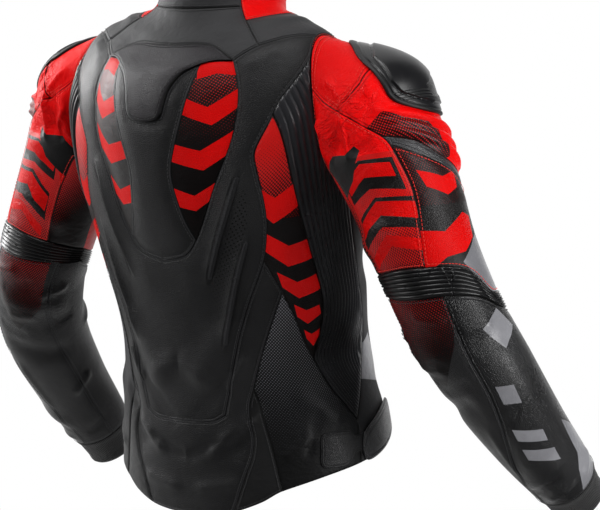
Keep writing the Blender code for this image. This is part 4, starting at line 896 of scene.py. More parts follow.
def crease_rows(which):
    """Rows of extra points along the creases of a map."""
    rows = []
    scale = MAPS[which][1]
    for a0, b0, a1, b1, half, _ in MAP_CREASES[which]:
        run = np.array([(a1 - a0) * scale, b1 - b0])
        length = np.linalg.norm(run)
        side = np.array([run[1], -run[0]]) / length
        t = np.linspace(0, 1, max(6, round(length / 0.0035)))[:, None]
        for offset in (-1.6, -1.0, -0.5, 0, 0.5, 1.0, 1.6):
            line = np.array([a0 * scale, b0]) + run * t + side * half * offset
            rows.append(line / np.array([scale, 1.0]))
    return rows


def sleeve_rows():
    """Rows of extra points along the shoulder's rolls and the elbow's ribs."""
    rows = []
    phi = np.linspace(50, -68, 40)
    for row in SHOULDER_RIBS:
        for offset in (-0.009, -0.0064, -0.0044, -0.0022, 0, 0.0022, 0.0044, 0.0064):
            rows.append(np.stack([phi, rib_crest(row, phi) + offset], -1))
    steps = 4 * ELBOW_ROWS
    phi = np.linspace(-180, 180, 4000)
    phi = paced(phi, *np.moveaxis(curve_through(ELBOW, phi), -1, 0), ARC, steps)
    top, low = np.moveaxis(curve_through(ELBOW, phi), -1, 0)
    return rows + [np.stack([phi, top + (low - top) * k / steps], -1) for k in range(1, steps)]


# %% Distances and outlines on a flat map
def distance_tree(points):
    """A search tree over flat points in metres."""
    tree = KDTree(len(points))
    for i, (x, y) in enumerate(points):
        tree.insert((x, y, 0), i)
    tree.balance()
    return tree


def near(tree, points):
    """Distance from each flat point to the nearest point of the tree."""
    return np.array([tree.find((x, y, 0))[2] for x, y in points])


def inside(outline, points):
    """Which points lie inside a closed outline."""
    x, y = points.T
    result = np.zeros(len(points), bool)
    for (x0, y0), (x1, y1) in zip(outline, np.roll(outline, -1, 0)):
        if y0 != y1:
            result ^= ((y0 > y) != (y1 > y)) & (x < (x1 - x0) * (y - y0) / (y1 - y0) + x0)
    return result


def quarter_tree(pairs):
    """A search tree over four points of every edge, given by its two ends."""
    return distance_tree([p + (q - p) * t for p, q in pairs for t in (0, 0.25, 0.5, 0.75)])


def beside(line, shift):
    """A flat line moved sideways."""
    way = np.gradient(line, axis=0)
    side = np.stack([way[:, 1], -way[:, 0]], -1)
    side /= np.maximum(np.linalg.norm(side, axis=1, keepdims=True), 1e-9)
    return line + side * shift


def hole_line(which):
    """The armhole at the fine spacing, on one of the maps."""
    point = hole_point if which == "body" else head_point
    return np.array([point(a) for start, end in zip(HOLE_ANGLES, HOLE_ANGLES[1:])
                     for a in np.linspace(start, end, 5)[:-1]] + [point(180.0)])


def resample(outline, scale):
    """A closed, straight-sided outline with a point every few millimetres."""
    corners = np.array(outline + outline[:1], float)
    line = []
    for p, q in zip(corners, corners[1:]):
        length = float(np.linalg.norm((q - p) * np.array([scale, 1.0])))
        n = max(1, round(length / (SEAM_DETAIL * 1.5)))
        line += [p + (q - p) * k / n for k in range(n)]
    return np.array(line + [corners[-1]])


# %% Cut one map into named triangles
def map_lines(which, scale):
    """The lines that cut a map: its seams, the outlines of what lies on it, its prints."""
    seams = [hole_line(which)] + [dense_line(s, scale) for s in MAP_SEAMS[which]]
    outlines = [dense_line(o, scale, True) for _, m, o, _ in OVERLAYS if m == which]
    shapes = [o for m, _, _, group in PRINTS if m == which for o in group]
    shapes += [CUP_PLATE, CUP_WELL] if which == "sleeve" else []
    return seams, outlines, [resample(o, scale) for o in shapes]


def points_beside(which, seams, outlines, flat, fixed):
    """Rows of points beside the seams and outlines, and round the cup's plate and well."""
    extra = np.vstack([beside(line * flat, sign * row) for line in seams
                       for row in EDGE_ROWS for sign in (-1, 1)])
    extra = extra[near(fixed, extra) > EDGE_ROWS[0] * 0.9]
    for line in outlines:
        p = line * flat
        turned = np.cross(p[1:] - p[:-1], np.roll(p[1:], -1, 0) - p[1:]).sum()
        for row in PLATE_ROWS:
            inset = beside(p, -row * np.sign(turned))
            extra = np.vstack([extra, inset[near(distance_tree(p), inset) > row * 0.95]])
    for outline in (CUP_PLATE, CUP_WELL) if which == "sleeve" else ():
        p = resample(outline, flat[0]) * flat
        middle = p.mean(0)
        for shift in CUP_ROWS:
            extra = np.vstack([extra, middle + (p - middle) * (1 - shift / CUP_REACH)])
    return extra[near(fixed, extra) > PLATE_ROWS[0] * 0.9]


def lattice_points(low, high):
    """An even lattice of points between two corners."""
    x, y = np.meshgrid(np.arange(low[0], high[0], LATTICE_DETAIL),
                       np.arange(low[1], high[1], LATTICE_DETAIL * 0.87))
    x[1::2] += LATTICE_DETAIL / 2
    lattice = np.stack([x.ravel(), y.ravel()], -1)
    return lattice[((lattice > low) & (lattice < high)).all(1)]


def fine_cut(which):
    """Vertices, triangles and the piece of each triangle, for one map."""
    scale = MAPS[which][1]
    flat = np.array([scale, 1.0])
    seams, outlines, prints = map_lines(which, scale)
    points, edges = [], []
    for line in seams + outlines + prints:
        first = len(points)
        points += list(line * flat)
        edges += [(i, i + 1) for i in range(first, len(points) - 1)]
    seam_count = sum(len(line) - 1 for line in seams)
    fixed = distance_tree(points)
    extra = points_beside(which, seams, outlines, flat, fixed)
    ridges = body_rows() + crease_rows(which) if which == "body" else (crease_rows(which)
                                                                      + sleeve_rows())
    rows = np.vstack(ridges) * flat
    rows = rows[near(fixed, rows) > EDGE_ROWS[0] * 0.9]
    extra = np.vstack([rows, extra[near(distance_tree(rows), extra) > EDGE_ROWS[0]]])
    low, high = np.min(points, axis=0), np.max(points, axis=0)
    lattice = lattice_points(low, high)
    settled = distance_tree(list(points) + list(extra))
    lattice = lattice[near(settled, lattice) > LATTICE_DETAIL * 0.62]
    inner = [p for p in np.vstack([extra, lattice]) if (p > low).all() and (p < high).all()]
    cut = delaunay_2d_cdt([Vector(p) for p in points + inner], edges, [], 0, 1e-6)
    verts = np.array([tuple(v) for v in cut[0]])
    faces = np.array([tuple(f) for f in cut[2]])
    walls = {tuple(sorted(e)) for e, source in zip(cut[1], cut[4])
             if any(i < seam_count for i in source)}
    return verts / flat, faces, flood(verts, faces, walls, MAP_PIECES[which], flat)


def flood(verts, faces, walls, seeds, flat):
    """The name of the piece that holds each triangle, spread from the seeds."""
    sides = {}
    for f, (a, b, c) in enumerate(faces.tolist()):
        for edge in ((a, b), (b, c), (c, a)):
            sides.setdefault(tuple(sorted(edge)), []).append(f)
    centres = verts[faces].mean(1)
    names = np.full(len(faces), None, object)
    linked = [[] for _ in range(len(faces))]
    for edge, pair in sides.items():
        if len(pair) == 2 and edge not in walls:
            linked[pair[0]].append(pair[1])
            linked[pair[1]].append(pair[0])
    for name, a, b in seeds:
        stack = [int(np.argmin(((centres - np.array([a, b]) * flat) ** 2).sum(1)))]
        while stack:
            f = stack.pop()
            if names[f] is None:
                names[f] = name
                stack += linked[f]
    return names


# %% Cut both maps
CUTS = {which: fine_cut(which) for which in ("body", "sleeve")}
for which, (_, triangles, names) in CUTS.items():
    print(which, len(triangles), "triangles,", len({n for n in names if n}), "pieces")

# %% [markdown]
# ## Relief
#
# A panel is never smooth. Its edge rolls down into the seam, the accordion panels stand up in
# ribs, the shoulder has three padded rolls, and the leather keeps the creases of its wearer.
# All of this is height above the form, so it is added up as one number for each point.

# %% Heights of the relief
DART_CREST, DART_DIP = 0.0062, 0.0030   # height of a dart's crest, depth of the dip beyond
DART_FOOT = 0.0030          # how far the foot of its steep side, where a shadow line is painted, is from the crest
CAP_RISE = 0.0028           # the plate over the hump stands on the panels round it
WINDOW_DIP = 0.0009         # the printed windows lie lower than the padded panels
CREASE_DEPTH = 2.2          # the creases' heights are given for thin leather; this is thicker
print("a dart's crest stands", DART_CREST, "m high")


# %% Height of the finished surface
def rib_wave(share, count):
    """Rounded cords with narrow valleys, count of them over a share from 0 to 1."""
    return (0.5 - 0.5 * np.cos(2 * pi * count * np.clip(share, 0, 1))) ** 0.6


def dart_places(u, v):
    """For each dart: the share along it, the distance across it, and its length."""
    for u0, v0, u1, v1 in DARTS:
        run = np.array([u1 - u0, v1 - v0])
        length = np.linalg.norm(run)
        yield (((u - u0) * run[0] + (v - v0) * run[1]) / length**2,
               ((u - u0) * run[1] - (v - v0) * run[0]) / length, length)


def dart_height(u, v):
    """The embossed darts: each climbs gently from the spine's side and drops outside."""
    total = np.zeros(np.broadcast(u, v).shape)
    for along, across, _ in dart_places(u, v):
        fade = np.sin(pi * np.clip(along * 1.06 - 0.03, 0, 1)) ** 0.7
        reach = np.where(across < 0, 0.0070, 0.0016)
        total += fade * (DART_CREST * np.exp(-np.abs(across / reach) ** 1.1)
                         - DART_DIP * bump(across - 0.0040, 0.0024))
    return total


def dart_foot(u, v):
    """Distance from the line where the nearest dart drops back to the panel; a shadow line is
    painted there.
    """
    least = np.full(len(u), 9.0)
    for along, across, length in dart_places(u, v):
        past = np.maximum(np.abs(along - 0.5) - 0.40, 0) * length
        least = np.minimum(least, np.hypot(past, across - DART_FOOT) + past * 0.2)
    return least


def body_height(u, v, piece):
    """Height of a body panel above the form, without its rolled edge."""
    h = body_relief(u, v)
    hole = np.hypot((u - HOLE_U) / HOLE_BACK, (v - HOLE_V) / HOLE_BOTTOM)
    h += CREASE_DEPTH * fold_height(u, v, BODY_CREASES) * np.clip((hole - 1) * 4, 0, 1)
    if piece == "side_stretch":
        left, right = np.moveaxis(curve_through(STRETCH, v), -1, 0)
        calm = np.clip((right - u) / RIB_CALM, 0, 1)        # the ribs run flat into the front seam
        h += RIB_HEIGHT * calm * (rib_wave((u - left) / rib_pitch(v) / 40, 40) - 0.35)
    if piece == "back_harness":
        h += dart_height(u, v)
    if piece in ("collar_back", "collar_side"):
        h += 0.0010 * bump(v - COLLAR_TOP - 0.003, 0.003) - 0.0008 * bump(v + 0.0335, 0.0014)
    if piece == "hump_cap":
        h += CAP_RISE * np.clip((v - 0.070) / 0.014, 0, 1)
    if piece == "hump_window":
        h -= WINDOW_DIP * np.clip((v - 0.085) / 0.014, 0, 1)
    return h


def sleeve_height(phi, w, piece):
    """Height of a sleeve panel above the form, without its rolled edge."""
    h = sleeve_relief(phi, w)
    start = np.clip((w - sleeve_head(phi)) / 0.012, 0, 1)
    top, low = np.moveaxis(curve_through(ELBOW, phi), -1, 0)
    clear = np.clip(np.maximum(top - w, w - low) / 0.012, 0, 1)
    h += CREASE_DEPTH * fold_height(phi, w, SLEEVE_CREASES, ARC) * start * clear
    if piece == "elbow_band":
        h += ELBOW_HEIGHT * (rib_wave((w - top) / (low - top), ELBOW_ROWS) - 0.3)
    if piece == "sleeve_ribs":
        fade = np.clip(np.minimum(50 - phi, phi + 68) / 14, 0, 1)
        for row in SHOULDER_RIBS:
            rise = np.exp(-np.abs((w - rib_crest(row, phi)) / (RIB_HALF * 0.80)) ** 2.6)
            h += RIB_RISE * rise * fade
    if piece == "cuff_knit":
        h += 0.0012 * bump(w - CUFF_END + 0.004, 0.004)
    return h


HEIGHTS = {"body": body_height, "sleeve": sleeve_height}
print("the hump's centre stands", body_height(0.0, 0.13, "hump_spine").round(4), "m high")


def surface_frame(which, a, b, side):
    """Points and outward normals of the bare form; the right side is mirrored."""
    surface, scale, turn = MAPS[which]
    e = 1e-4
    along = surface(a + e / scale, b, side) - surface(a - e / scale, b, side)
    down = surface(a, b + e, side) - surface(a, b - e, side)
    normal = np.cross(along, down) * turn
    normal /= np.maximum(np.linalg.norm(normal, axis=-1, keepdims=True), 1e-12)
    mirror = np.array([side, 1, 1])
    return surface(a, b, side) * mirror, normal * mirror


# %% [markdown]
# ## Sewing the pieces
#
# Each piece becomes a closed wall: the finished face, the lining's face 2 mm under it, and a
# narrow rim between them. The flat pattern is kept as the UV map in metres, so a stitch of 4 mm
# in a material is 4 mm on the jacket. Two attributes go with it: how far a point is from its
# seam, and how much ink a dotted print has there.


# %% Make one piece of the pattern a wall of cloth
PUFFED = {                  # padded pieces, with the share of the full crown
    "back_harness": 1.0, "back_lower": 0.8, "hump_spine": 1.8, "hump_window": 0.8,
    "side_tail": 0.6, "yoke_side": 0.4, "yoke_back": 0.4, "sleeve_cap": 0.8,
    "sleeve_back": 0.7, "sleeve_outer": 0.8, "sleeve_front": 0.7, "forearm_outer": 0.7,
    "forearm_back": 0.7, "forearm_inner": 0.7, "front_body": 0.7, "front_chest": 0.7,
    "side_shard": 0.6, "sleeve_band": 0.6,
}


def on_fold(a, which):
    """True on a map's own edges, which are not seams: the centre lines and the underarm."""
    if which == "body":
        return (np.abs(a) < 1e-7) | (np.abs(a - HALF_GIRTH) < 1e-7)
    return np.abs(np.abs(a) - 180) < 1e-5


def seam_edges(faces, a, which):
    """The border of a piece as directed edges, without the map's own edges."""
    edges = np.vstack([faces[:, (0, 1)], faces[:, (1, 2)], faces[:, (2, 0)]])
    key = np.sort(edges, 1)
    _, index, count = np.unique(key, axis=0, return_index=True, return_counts=True)
    rim = edges[index[count == 1]]
    return rim[~(on_fold(a[rim[:, 0]], which) & on_fold(a[rim[:, 1]], which))]


def gap_inwards(points, rim):
    """Move the border's flat points half a seam's width into the piece."""
    shift = np.zeros_like(points)
    for i, j in rim:
        way = points[j] - points[i]
        normal = np.array([-way[1], way[0]]) / max(np.hypot(*way), 1e-9)
        shift[i] += normal
        shift[j] += normal
    length = np.linalg.norm(shift, axis=1, keepdims=True)
    return points + np.where(length > 0, shift / np.maximum(length, 1e-9), 0) * SEAM / 2


def ink_at(a, b, piece, scale):
    """The share of ink of a dotted print at each point of a piece."""
    if piece not in FADES:
        return np.zeros(len(a))
    (a0, b0, f0), (a1, b1, f1) = FADES[piece]
    run = np.array([(a1 - a0) * scale, b1 - b0])
    t = ((a - a0) * scale * run[0] + (b - b0) * run[1]) / run.dot(run)
    return np.clip(f0 + (f1 - f0) * t, 0.0, 1.0)


def wear_at(a, b, which):
    """How crumpled the leather is at each point, from 0 to 1."""
    scale = MAPS[which][1]
    total = np.zeros(len(a))
    for where, a0, b0, reach, strength in WORN:
        if where == which:
            total += strength * bump(np.hypot((a - a0) * scale, b - b0), reach)
    return np.clip(total, 0, 1)


def printed(piece, ground, middle):
    """The finish of each triangle: the piece's ground, or the last print that covers it."""
    finish = np.full(len(middle), ground, object)
    for _, name, ink, shapes in PRINTS:
        for outline in shapes if name == piece else ():
            finish[inside(np.array(outline, float), middle)] = ink
    return finish


def cloth_part(which, piece, side, ground):
    """One side of a piece: its points, faces, finishes and attributes."""
    verts, faces, names = CUTS[which]
    scale = MAPS[which][1]
    flat = np.array([scale, 1.0])
    chosen = faces[names == piece]
    used, chosen = np.unique(chosen, return_inverse=True)
    chosen = chosen.reshape(-1, 3)
    points = verts[used] * flat
    rim = seam_edges(chosen, verts[used][:, 0], which)
    gap = near(quarter_tree((points[i], points[j]) for i, j in rim), points)
    moved = gap_inwards(points, rim) / flat
    still = verts[used].copy()
    fold = on_fold(still[:, 0], which)
    slid = moved[fold, 1] - still[fold, 1]
    still[fold, 0] = np.abs(still[fold, 0])
    moved[fold, 0] = still[fold, 0]
    moved[fold, 1] = still[fold, 1] + np.sign(slid) * (np.abs(slid) > 1e-6) * SEAM / 2
    a, b = moved.T
    place, normal = surface_frame(which, a, b, side)
    height = HEIGHTS[which](a, b, piece)
    roll = ROLL_DEPTH * bump(gap, ROLL_REACH)
    if piece in PUFFED:
        roll += PUFFED[piece] * PUFF_DEPTH * bump(gap, PUFF_REACH)
    under = (body_relief if which == "body" else sleeve_relief)(a, b) - CLOTH
    top = np.maximum(height - roll, under + 0.0006)
    finish = printed(piece, ground, verts[used][chosen].mean(1))
    outer = place + normal * top[:, None]
    bare, straight = surface_frame(which, *still.T, side)
    inner = bare + straight * under[:, None]
    if MAPS[which][2] * side < 0:
        chosen, rim = chosen[:, ::-1], rim[:, ::-1]
    # On the back panel the seam attribute also carries the distance from each dart's foot, so the
    # leather paints shade at the foot and a highlight beside it.
    if piece == "back_harness":
        gap = np.minimum(gap, dart_foot(*verts[used].T))
    return {"outer": outer, "inner": inner, "faces": chosen, "rim": rim, "finish": finish,
            "uv": points, "gap": gap, "ink": ink_at(a, b, piece, scale),
            "wear": wear_at(a, b, which)}


def sew(name, parts, lining="lining"):
    """A closed wall of cloth from one or two parts, welded along the centre lines."""
    data = bpy.data.meshes.new(name)
    slots = list(dict.fromkeys([f for p in parts for f in p["finish"]] + [lining]))
    points, triangles, rows, uv, start = [], [], [], [], 0
    marks = {"seam": "gap", "ink": "ink", "worn": "wear"}
    for p in parts:
        n = len(p["outer"])
        points += [p["outer"], p["inner"]]
        uv += [p["uv"], p["uv"]]
        top, rim = p["faces"] + start, p["rim"] + start
        low = top[:, ::-1] + n
        wall = np.vstack([np.stack([rim[:, 1], rim[:, 0], rim[:, 0] + n], -1),
                          np.stack([rim[:, 1], rim[:, 0] + n, rim[:, 1] + n], -1)])
        triangles += [top, low, wall]
        rows += [p["finish"], np.full(len(low), lining, object),
                 np.full(len(wall), p["finish"][0], object)]
        start += 2 * n
    points, triangles = np.vstack(points), np.vstack(triangles)
    index = np.array([slots.index(f) for f in np.concatenate(rows)], np.int32)
    data.from_pydata(points.tolist(), [], triangles.tolist())
    for slot in slots:
        data.materials.append(FINISH[slot])
    data.polygons.foreach_set("material_index", index)
    layer = data.uv_layers.new(name="pattern")
    corner = np.empty(len(data.loops), np.int32)
    data.loops.foreach_get("vertex_index", corner)
    layer.data.foreach_set("uv", np.vstack(uv)[corner].astype(np.float32).ravel())
    for label, key in marks.items():
        values = np.concatenate([p[key] for p in parts for _ in ("outer", "inner")])
        layer = data.attributes.new(label, "FLOAT", "POINT")
        layer.data.foreach_set("value", values.astype(np.float32))
    mesh = bmesh.new()
    mesh.from_mesh(data)
    bmesh.ops.remove_doubles(mesh, verts=mesh.verts[:], dist=2e-6)
    loose = [v for v in mesh.verts if any(len(e.link_faces) == 1 for e in v.link_edges)]
    bmesh.ops.remove_doubles(mesh, verts=loose, dist=4e-4)
    open_edges = [e for e in mesh.edges if len(e.link_faces) == 1]
    filled = bmesh.ops.holes_fill(mesh, edges=open_edges, sides=8)["faces"]
    bmesh.ops.triangulate(mesh, faces=filled)
    mesh.to_mesh(data)
    mesh.free()
    data.shade_smooth()
    data.set_sharp_from_angle(angle=radians(76))
    return placed(name, data)


# %% [markdown]
# ## Materials
#
# Every finish reads the pattern map, in metres, so its scale is a real size in millimetres.
# Colours are written as sRGB hex values and turned to linear by one function. Each material
# starts from what the real one is: dyed cowhide with a polyurethane top coat, woven softshell,
# laminated print, rubbery grey film, moulded plastic, elastic web and rib knit.


# %% Helpers for materials
def linear(hex_colour):
    """An sRGB hex colour as linear red, green, blue and alpha."""
    parts = [int(hex_colour[i:i + 2], 16) / 255 for i in (0, 2, 4)]
    return (*[p / 12.92 if p <= 0.04045 else ((p + 0.055) / 1.055) ** 2.4 for p in parts], 1.0)


def start_material(name, **shader_values):
    """A material with a Principled shader, and its node tree."""
    material = bpy.data.materials.new(name)
    material.use_nodes = True
    shader = material.node_tree.nodes["Principled BSDF"]
    for key, value in shader_values.items():
        shader.inputs[key.replace("_", " ")].default_value = value
    return material, material.node_tree, shader


def pattern_at(tree, pitch, angle=0.0, stretch=1.0):
    """Pattern coordinates with one unit to each pitch of so many metres."""
    uv = add(tree, "ShaderNodeTexCoord")
    return add(tree, "ShaderNodeMapping", [("Vector", uv.outputs["UV"])],
               in_Rotation=(0, 0, radians(angle)),
               in_Scale=(1 / pitch, stretch / pitch, 1)).outputs[0]


def ramp(tree, value, low, high, start=0.0, end=1.0):
    """A smooth step of a value from low to high."""
    return add(tree, "ShaderNodeMapRange", [("Value", value)],
               interpolation_type="SMOOTHSTEP", in_1=low, in_2=high, in_3=start,
               in_4=end).outputs[0]


def field(tree, name):
    """One of the attributes that each piece of cloth carries."""
    return add(tree, "ShaderNodeAttribute", attribute_name=name).outputs["Fac"]


def mixed(tree, factor, first, second):
    """One colour or the other by a factor; each is a hex colour or a socket."""
    links, settings = [(0, factor)], {}
    for slot, colour in ((6, first), (7, second)):
        if isinstance(colour, str):
            settings[f"in_{slot}"] = linear(colour)
        else:
            links.append((slot, colour))
    return add(tree, "ShaderNodeMix", links, data_type="RGBA", **settings).outputs[2]


def cloudy(tree, scale, detail):
    """Soft noise in the jacket's own space."""
    spot = add(tree, "ShaderNodeTexCoord")
    return add(tree, "ShaderNodeTexNoise", [("Vector", spot.outputs["Object"])],
               in_Scale=scale, in_Detail=detail).outputs[0]


def mottled(tree, dark, light, scale):
    """A soft uneven mix of two colours."""
    return mixed(tree, ramp(tree, cloudy(tree, scale, 4.0), 0.35, 0.65), dark, light)


def rough_by_noise(tree, shader, scale, low, high):
    """Uneven gloss, as hands and weather leave it."""
    tree.links.new(ramp(tree, cloudy(tree, scale, 3.0), 0.3, 0.7, low, high),
                   shader.inputs["Roughness"])


def raise_bumps(tree, shader, layers):
    """A chain of bumps; layers are (height socket, depth in metres)."""
    normal = None
    for height, depth in layers:
        links = [("Height", height)] + ([("Normal", normal)] if normal else [])
        normal = add(tree, "ShaderNodeBump", links, in_Distance=depth,
                     in_Strength=1.0).outputs[0]
    tree.links.new(normal, shader.inputs["Normal"])


def leather_grain(tree, pitch):
    """The pebbles of a leather's grain: raised cells with sunken edges."""
    cells = add(tree, "ShaderNodeTexVoronoi", [("Vector", pattern_at(tree, pitch))],
                voronoi_dimensions="2D", feature="DISTANCE_TO_EDGE", in_Scale=1.0)
    return ramp(tree, cells.outputs["Distance"], 0.0, 0.22)


def pull_marks(tree, pitch, stretch):
    """Fine drawn wrinkles, longer one way than the other."""
    noise = add(tree, "ShaderNodeTexNoise",
                [("Vector", pattern_at(tree, pitch, 20, stretch))], in_Scale=1.0,
                in_Detail=3.0, in_Distortion=0.6)
    return noise.outputs[0]


def grid_dots(tree, pitch, angle=45.0):
    """Distance from the nearest dot of a square screen, 0 at its centre."""
    return add(tree, "ShaderNodeTexVoronoi", [("Vector", pattern_at(tree, pitch, angle))],
               voronoi_dimensions="2D", in_Scale=1.0, in_Randomness=0.0).outputs["Distance"]


print("leather black", [round(c, 4) for c in linear("1b1b1c")])

# %% Leather
GRAIN = 0.0024              # cowhide's pebbles are about 0.8 mm; drawn coarser so they show
STITCH_LINE = 0.0030        # the stitches lie in a shallow groove so far from the seam


def crumple(tree, pitch, stretch, angle=20.0):
    """Thin irregular creases: the valleys of a folded noise."""
    noise = add(tree, "ShaderNodeTexNoise",
                [("Vector", pattern_at(tree, pitch, angle, stretch))], in_Scale=1.0,
                in_Detail=4.0, in_Roughness=0.55, in_Distortion=0.8)
    middle = add(tree, "ShaderNodeMath", [(0, noise.outputs[0])], operation="SUBTRACT",
                 in_1=0.5).outputs[0]
    folded = add(tree, "ShaderNodeMath", [(0, middle)], operation="ABSOLUTE").outputs[0]
    return ramp(tree, folded, 0.0, 0.10)


def sewn_line(tree):
    """1 on the leather, 0 in the groove that the stitches pull down."""
    off = add(tree, "ShaderNodeMath", [(0, field(tree, "seam"))], operation="SUBTRACT",
              in_1=STITCH_LINE).outputs[0]
    off = add(tree, "ShaderNodeMath", [(0, off)], operation="ABSOLUTE").outputs[0]
    return ramp(tree, off, 0.0002, 0.0011)


def cowhide(name, dark, light, rough, grain=GRAIN, wrinkle=0.00010, worn=None,
            seam="050505", gloss=0.50, sewn=True, crush=0.0004):
    """Dyed and coated cowhide: fine pebbles, uneven gloss, painted shade in seams and stitch
    grooves.
    """
    material, tree, shader = start_material(name, Specular_IOR_Level=gloss)
    base = mottled(tree, dark, light, 9.0)
    gap = field(tree, "seam")
    if worn:
        # The band 1.2 to 3 mm from the seam takes the worn colour: the rolled edge's crest, rubbed
        # lighter by wear and also given a painted highlight.
        crest = ramp(tree, gap, 0.0012, 0.0030, 1.0, 0.0)
        base = mixed(tree, crest, base, worn)
    if sewn:
        # Painted shade: the stitch groove is drawn 30% of the way to the seam colour, and the seam
        # itself in the seam colour.
        base = mixed(tree, ramp(tree, sewn_line(tree), 0.0, 1.0, 0.70, 1.0), seam, base)
        base = mixed(tree, ramp(tree, gap, 0.0001, 0.0011), seam, base)
    tree.links.new(base, shader.inputs["Base Color"])
    rough_by_noise(tree, shader, 14.0, rough - 0.06, rough + 0.10)
    creased = add(tree, "ShaderNodeMath", [(0, crumple(tree, 0.018, 1.4, 60.0)),
                                           (1, field(tree, "worn"))],
                  operation="MULTIPLY").outputs[0]
    raise_bumps(tree, shader, [(crumple(tree, 0.050, 1.5), wrinkle), (creased, crush),
                               (pull_marks(tree, 0.0090, 1.2), 0.00030),
                               (leather_grain(tree, grain), 0.00018)]
                + [(sewn_line(tree), 0.00030)] * sewn)
    return material


# %% Printed and woven finishes
DOT_PITCH = 0.0026          # the screen of the print


def dotted(name, ground, ink, rough, pitch=DOT_PITCH):
    """A laminated textile with a screen of dots that grow with the share of ink."""
    material, tree, shader = start_material(name, Sheen_Weight=0.02, Specular_IOR_Level=0.25)
    amount = add(tree, "ShaderNodeMath", [(0, field(tree, "ink"))], operation="MULTIPLY",
                 in_1=0.74).outputs[0]
    past = add(tree, "ShaderNodeMath", [(0, amount), (1, grid_dots(tree, pitch))],
               operation="SUBTRACT").outputs[0]
    printed = mixed(tree, ramp(tree, past, -0.04, 0.05), ground, ink)
    # Painted shade: the print darkens to near black close to its seams.
    colour = mixed(tree, ramp(tree, field(tree, "seam"), 0.0004, 0.0017), "050505", printed)
    tree.links.new(colour, shader.inputs["Base Color"])
    rough_by_noise(tree, shader, 20.0, rough - 0.05, rough + 0.07)
    raise_bumps(tree, shader, [(pull_marks(tree, 0.012, 1.8), 0.0008),
                               (grid_dots(tree, 0.0017, 0.0), 0.00016)])
    return material


def woven(name, dark, light, rough, pitch, depth, sheen=0.15, wrinkle=0.0010):
    """A dense weave: small raised floats on a square grid."""
    material, tree, shader = start_material(name, Sheen_Weight=sheen, Sheen_Roughness=0.4,
                                            Roughness=rough, Specular_IOR_Level=0.35)
    base = mottled(tree, dark, light, 12.0)
    # Painted shade: the weave darkens to near black close to its seams.
    colour = mixed(tree, ramp(tree, field(tree, "seam"), 0.0004, 0.0017), "050505", base)
    tree.links.new(colour, shader.inputs["Base Color"])
    raise_bumps(tree, shader, [(pull_marks(tree, 0.018, 1.6), wrinkle),
                               (grid_dots(tree, pitch), depth)])
    return material


def cords(name, dark, light, rough, pitch, depth, along="X"):
    """Cloth with fine parallel ribs, such as elastic web and rib knit, painted darker in the ribs'
    valleys.
    """
    material, tree, shader = start_material(name, Sheen_Weight=0.2, Roughness=rough,
                                            Specular_IOR_Level=0.25)
    wave = add(tree, "ShaderNodeTexWave", [("Vector", pattern_at(tree, pitch))],
               bands_direction=along, in_Scale=0.3183)
    # Painted shade and highlight: the colour follows the ribs' height, dark in the valleys and
    # light on the crests.
    colour = mixed(tree, wave.outputs[1], dark, light)
    tree.links.new(colour, shader.inputs["Base Color"])
    raise_bumps(tree, shader, [(wave.outputs[1], depth)])
    return material


SPECK, SPECK_DEPTH = 0.0008, 0.00006    # width and depth of a mould's fine texture


def plain_solid(name, hex_colour, rough, metallic=0.0):
    """Moulded or plated material with a fine surface texture."""
    material, tree, shader = start_material(name, Metallic=metallic,
                                            Specular_IOR_Level=0.5 if metallic else 0.4)
    tree.links.new(mottled(tree, hex_colour, hex_colour, 5.0), shader.inputs["Base Color"])
    rough_by_noise(tree, shader, 30.0, rough - 0.04, rough + 0.06)
    raise_bumps(tree, shader, [(cloudy(tree, 1 / SPECK, 2.0), SPECK_DEPTH)])
    return material


def grooved(name, hex_colour, rough):
    """A moulded plate with three parallel grooves beside its lower edge, painted near black inside
    as shade.
    """
    material = plain_solid(name, hex_colour, rough)
    tree = material.node_tree
    shader = tree.nodes["Principled BSDF"]
    rows = add(tree, "ShaderNodeMath", [(0, field(tree, "ink"))], operation="MULTIPLY",
               in_1=1 / 0.0034).outputs[0]
    wave = add(tree, "ShaderNodeMath", [(0, rows)], operation="PINGPONG", in_1=0.5).outputs[0]
    groove = ramp(tree, wave, 0.06, 0.26)
    band = [ramp(tree, field(tree, "ink"), 0.0102, 0.0104),
            ramp(tree, field(tree, "ink"), 0.0204, 0.0206, 1.0, 0.0)]
    inside = add(tree, "ShaderNodeMath", [(0, band[0]), (1, band[1])],
                 operation="MULTIPLY").outputs[0]
    height = add(tree, "ShaderNodeMix", [(0, inside), (3, groove)], data_type="FLOAT",
                 in_2=1.0).outputs[0]
    raise_bumps(tree, shader, [(height, 0.0009)])
    solid = shader.inputs["Base Color"].links[0].from_socket
    # Painted shade: the grooves' bottoms are drawn near black.
    tree.links.new(mixed(tree, height, "040404", solid), shader.inputs["Base Color"])
    return material


def perforated(name, dark, light, rough, pitch, hole):
    """Cowhide punched with rows of small holes, drawn as near-black dots with the painted shade
    inside them.
    """
    material = cowhide(name, dark, light, rough, gloss=0.22)
    tree = material.node_tree
    shader = tree.nodes["Principled BSDF"]
    solid = shader.inputs["Base Color"].links[0].from_socket
    away = grid_dots(tree, pitch, 30.0)
    # The holes have no depth: each is a near-black dot, for the hole itself and the painted shade
    # in it.
    colour = mixed(tree, ramp(tree, away, hole / pitch * 0.8, hole / pitch * 1.2), "020202",
                   solid)
    tree.links.new(colour, shader.inputs["Base Color"])
    return material


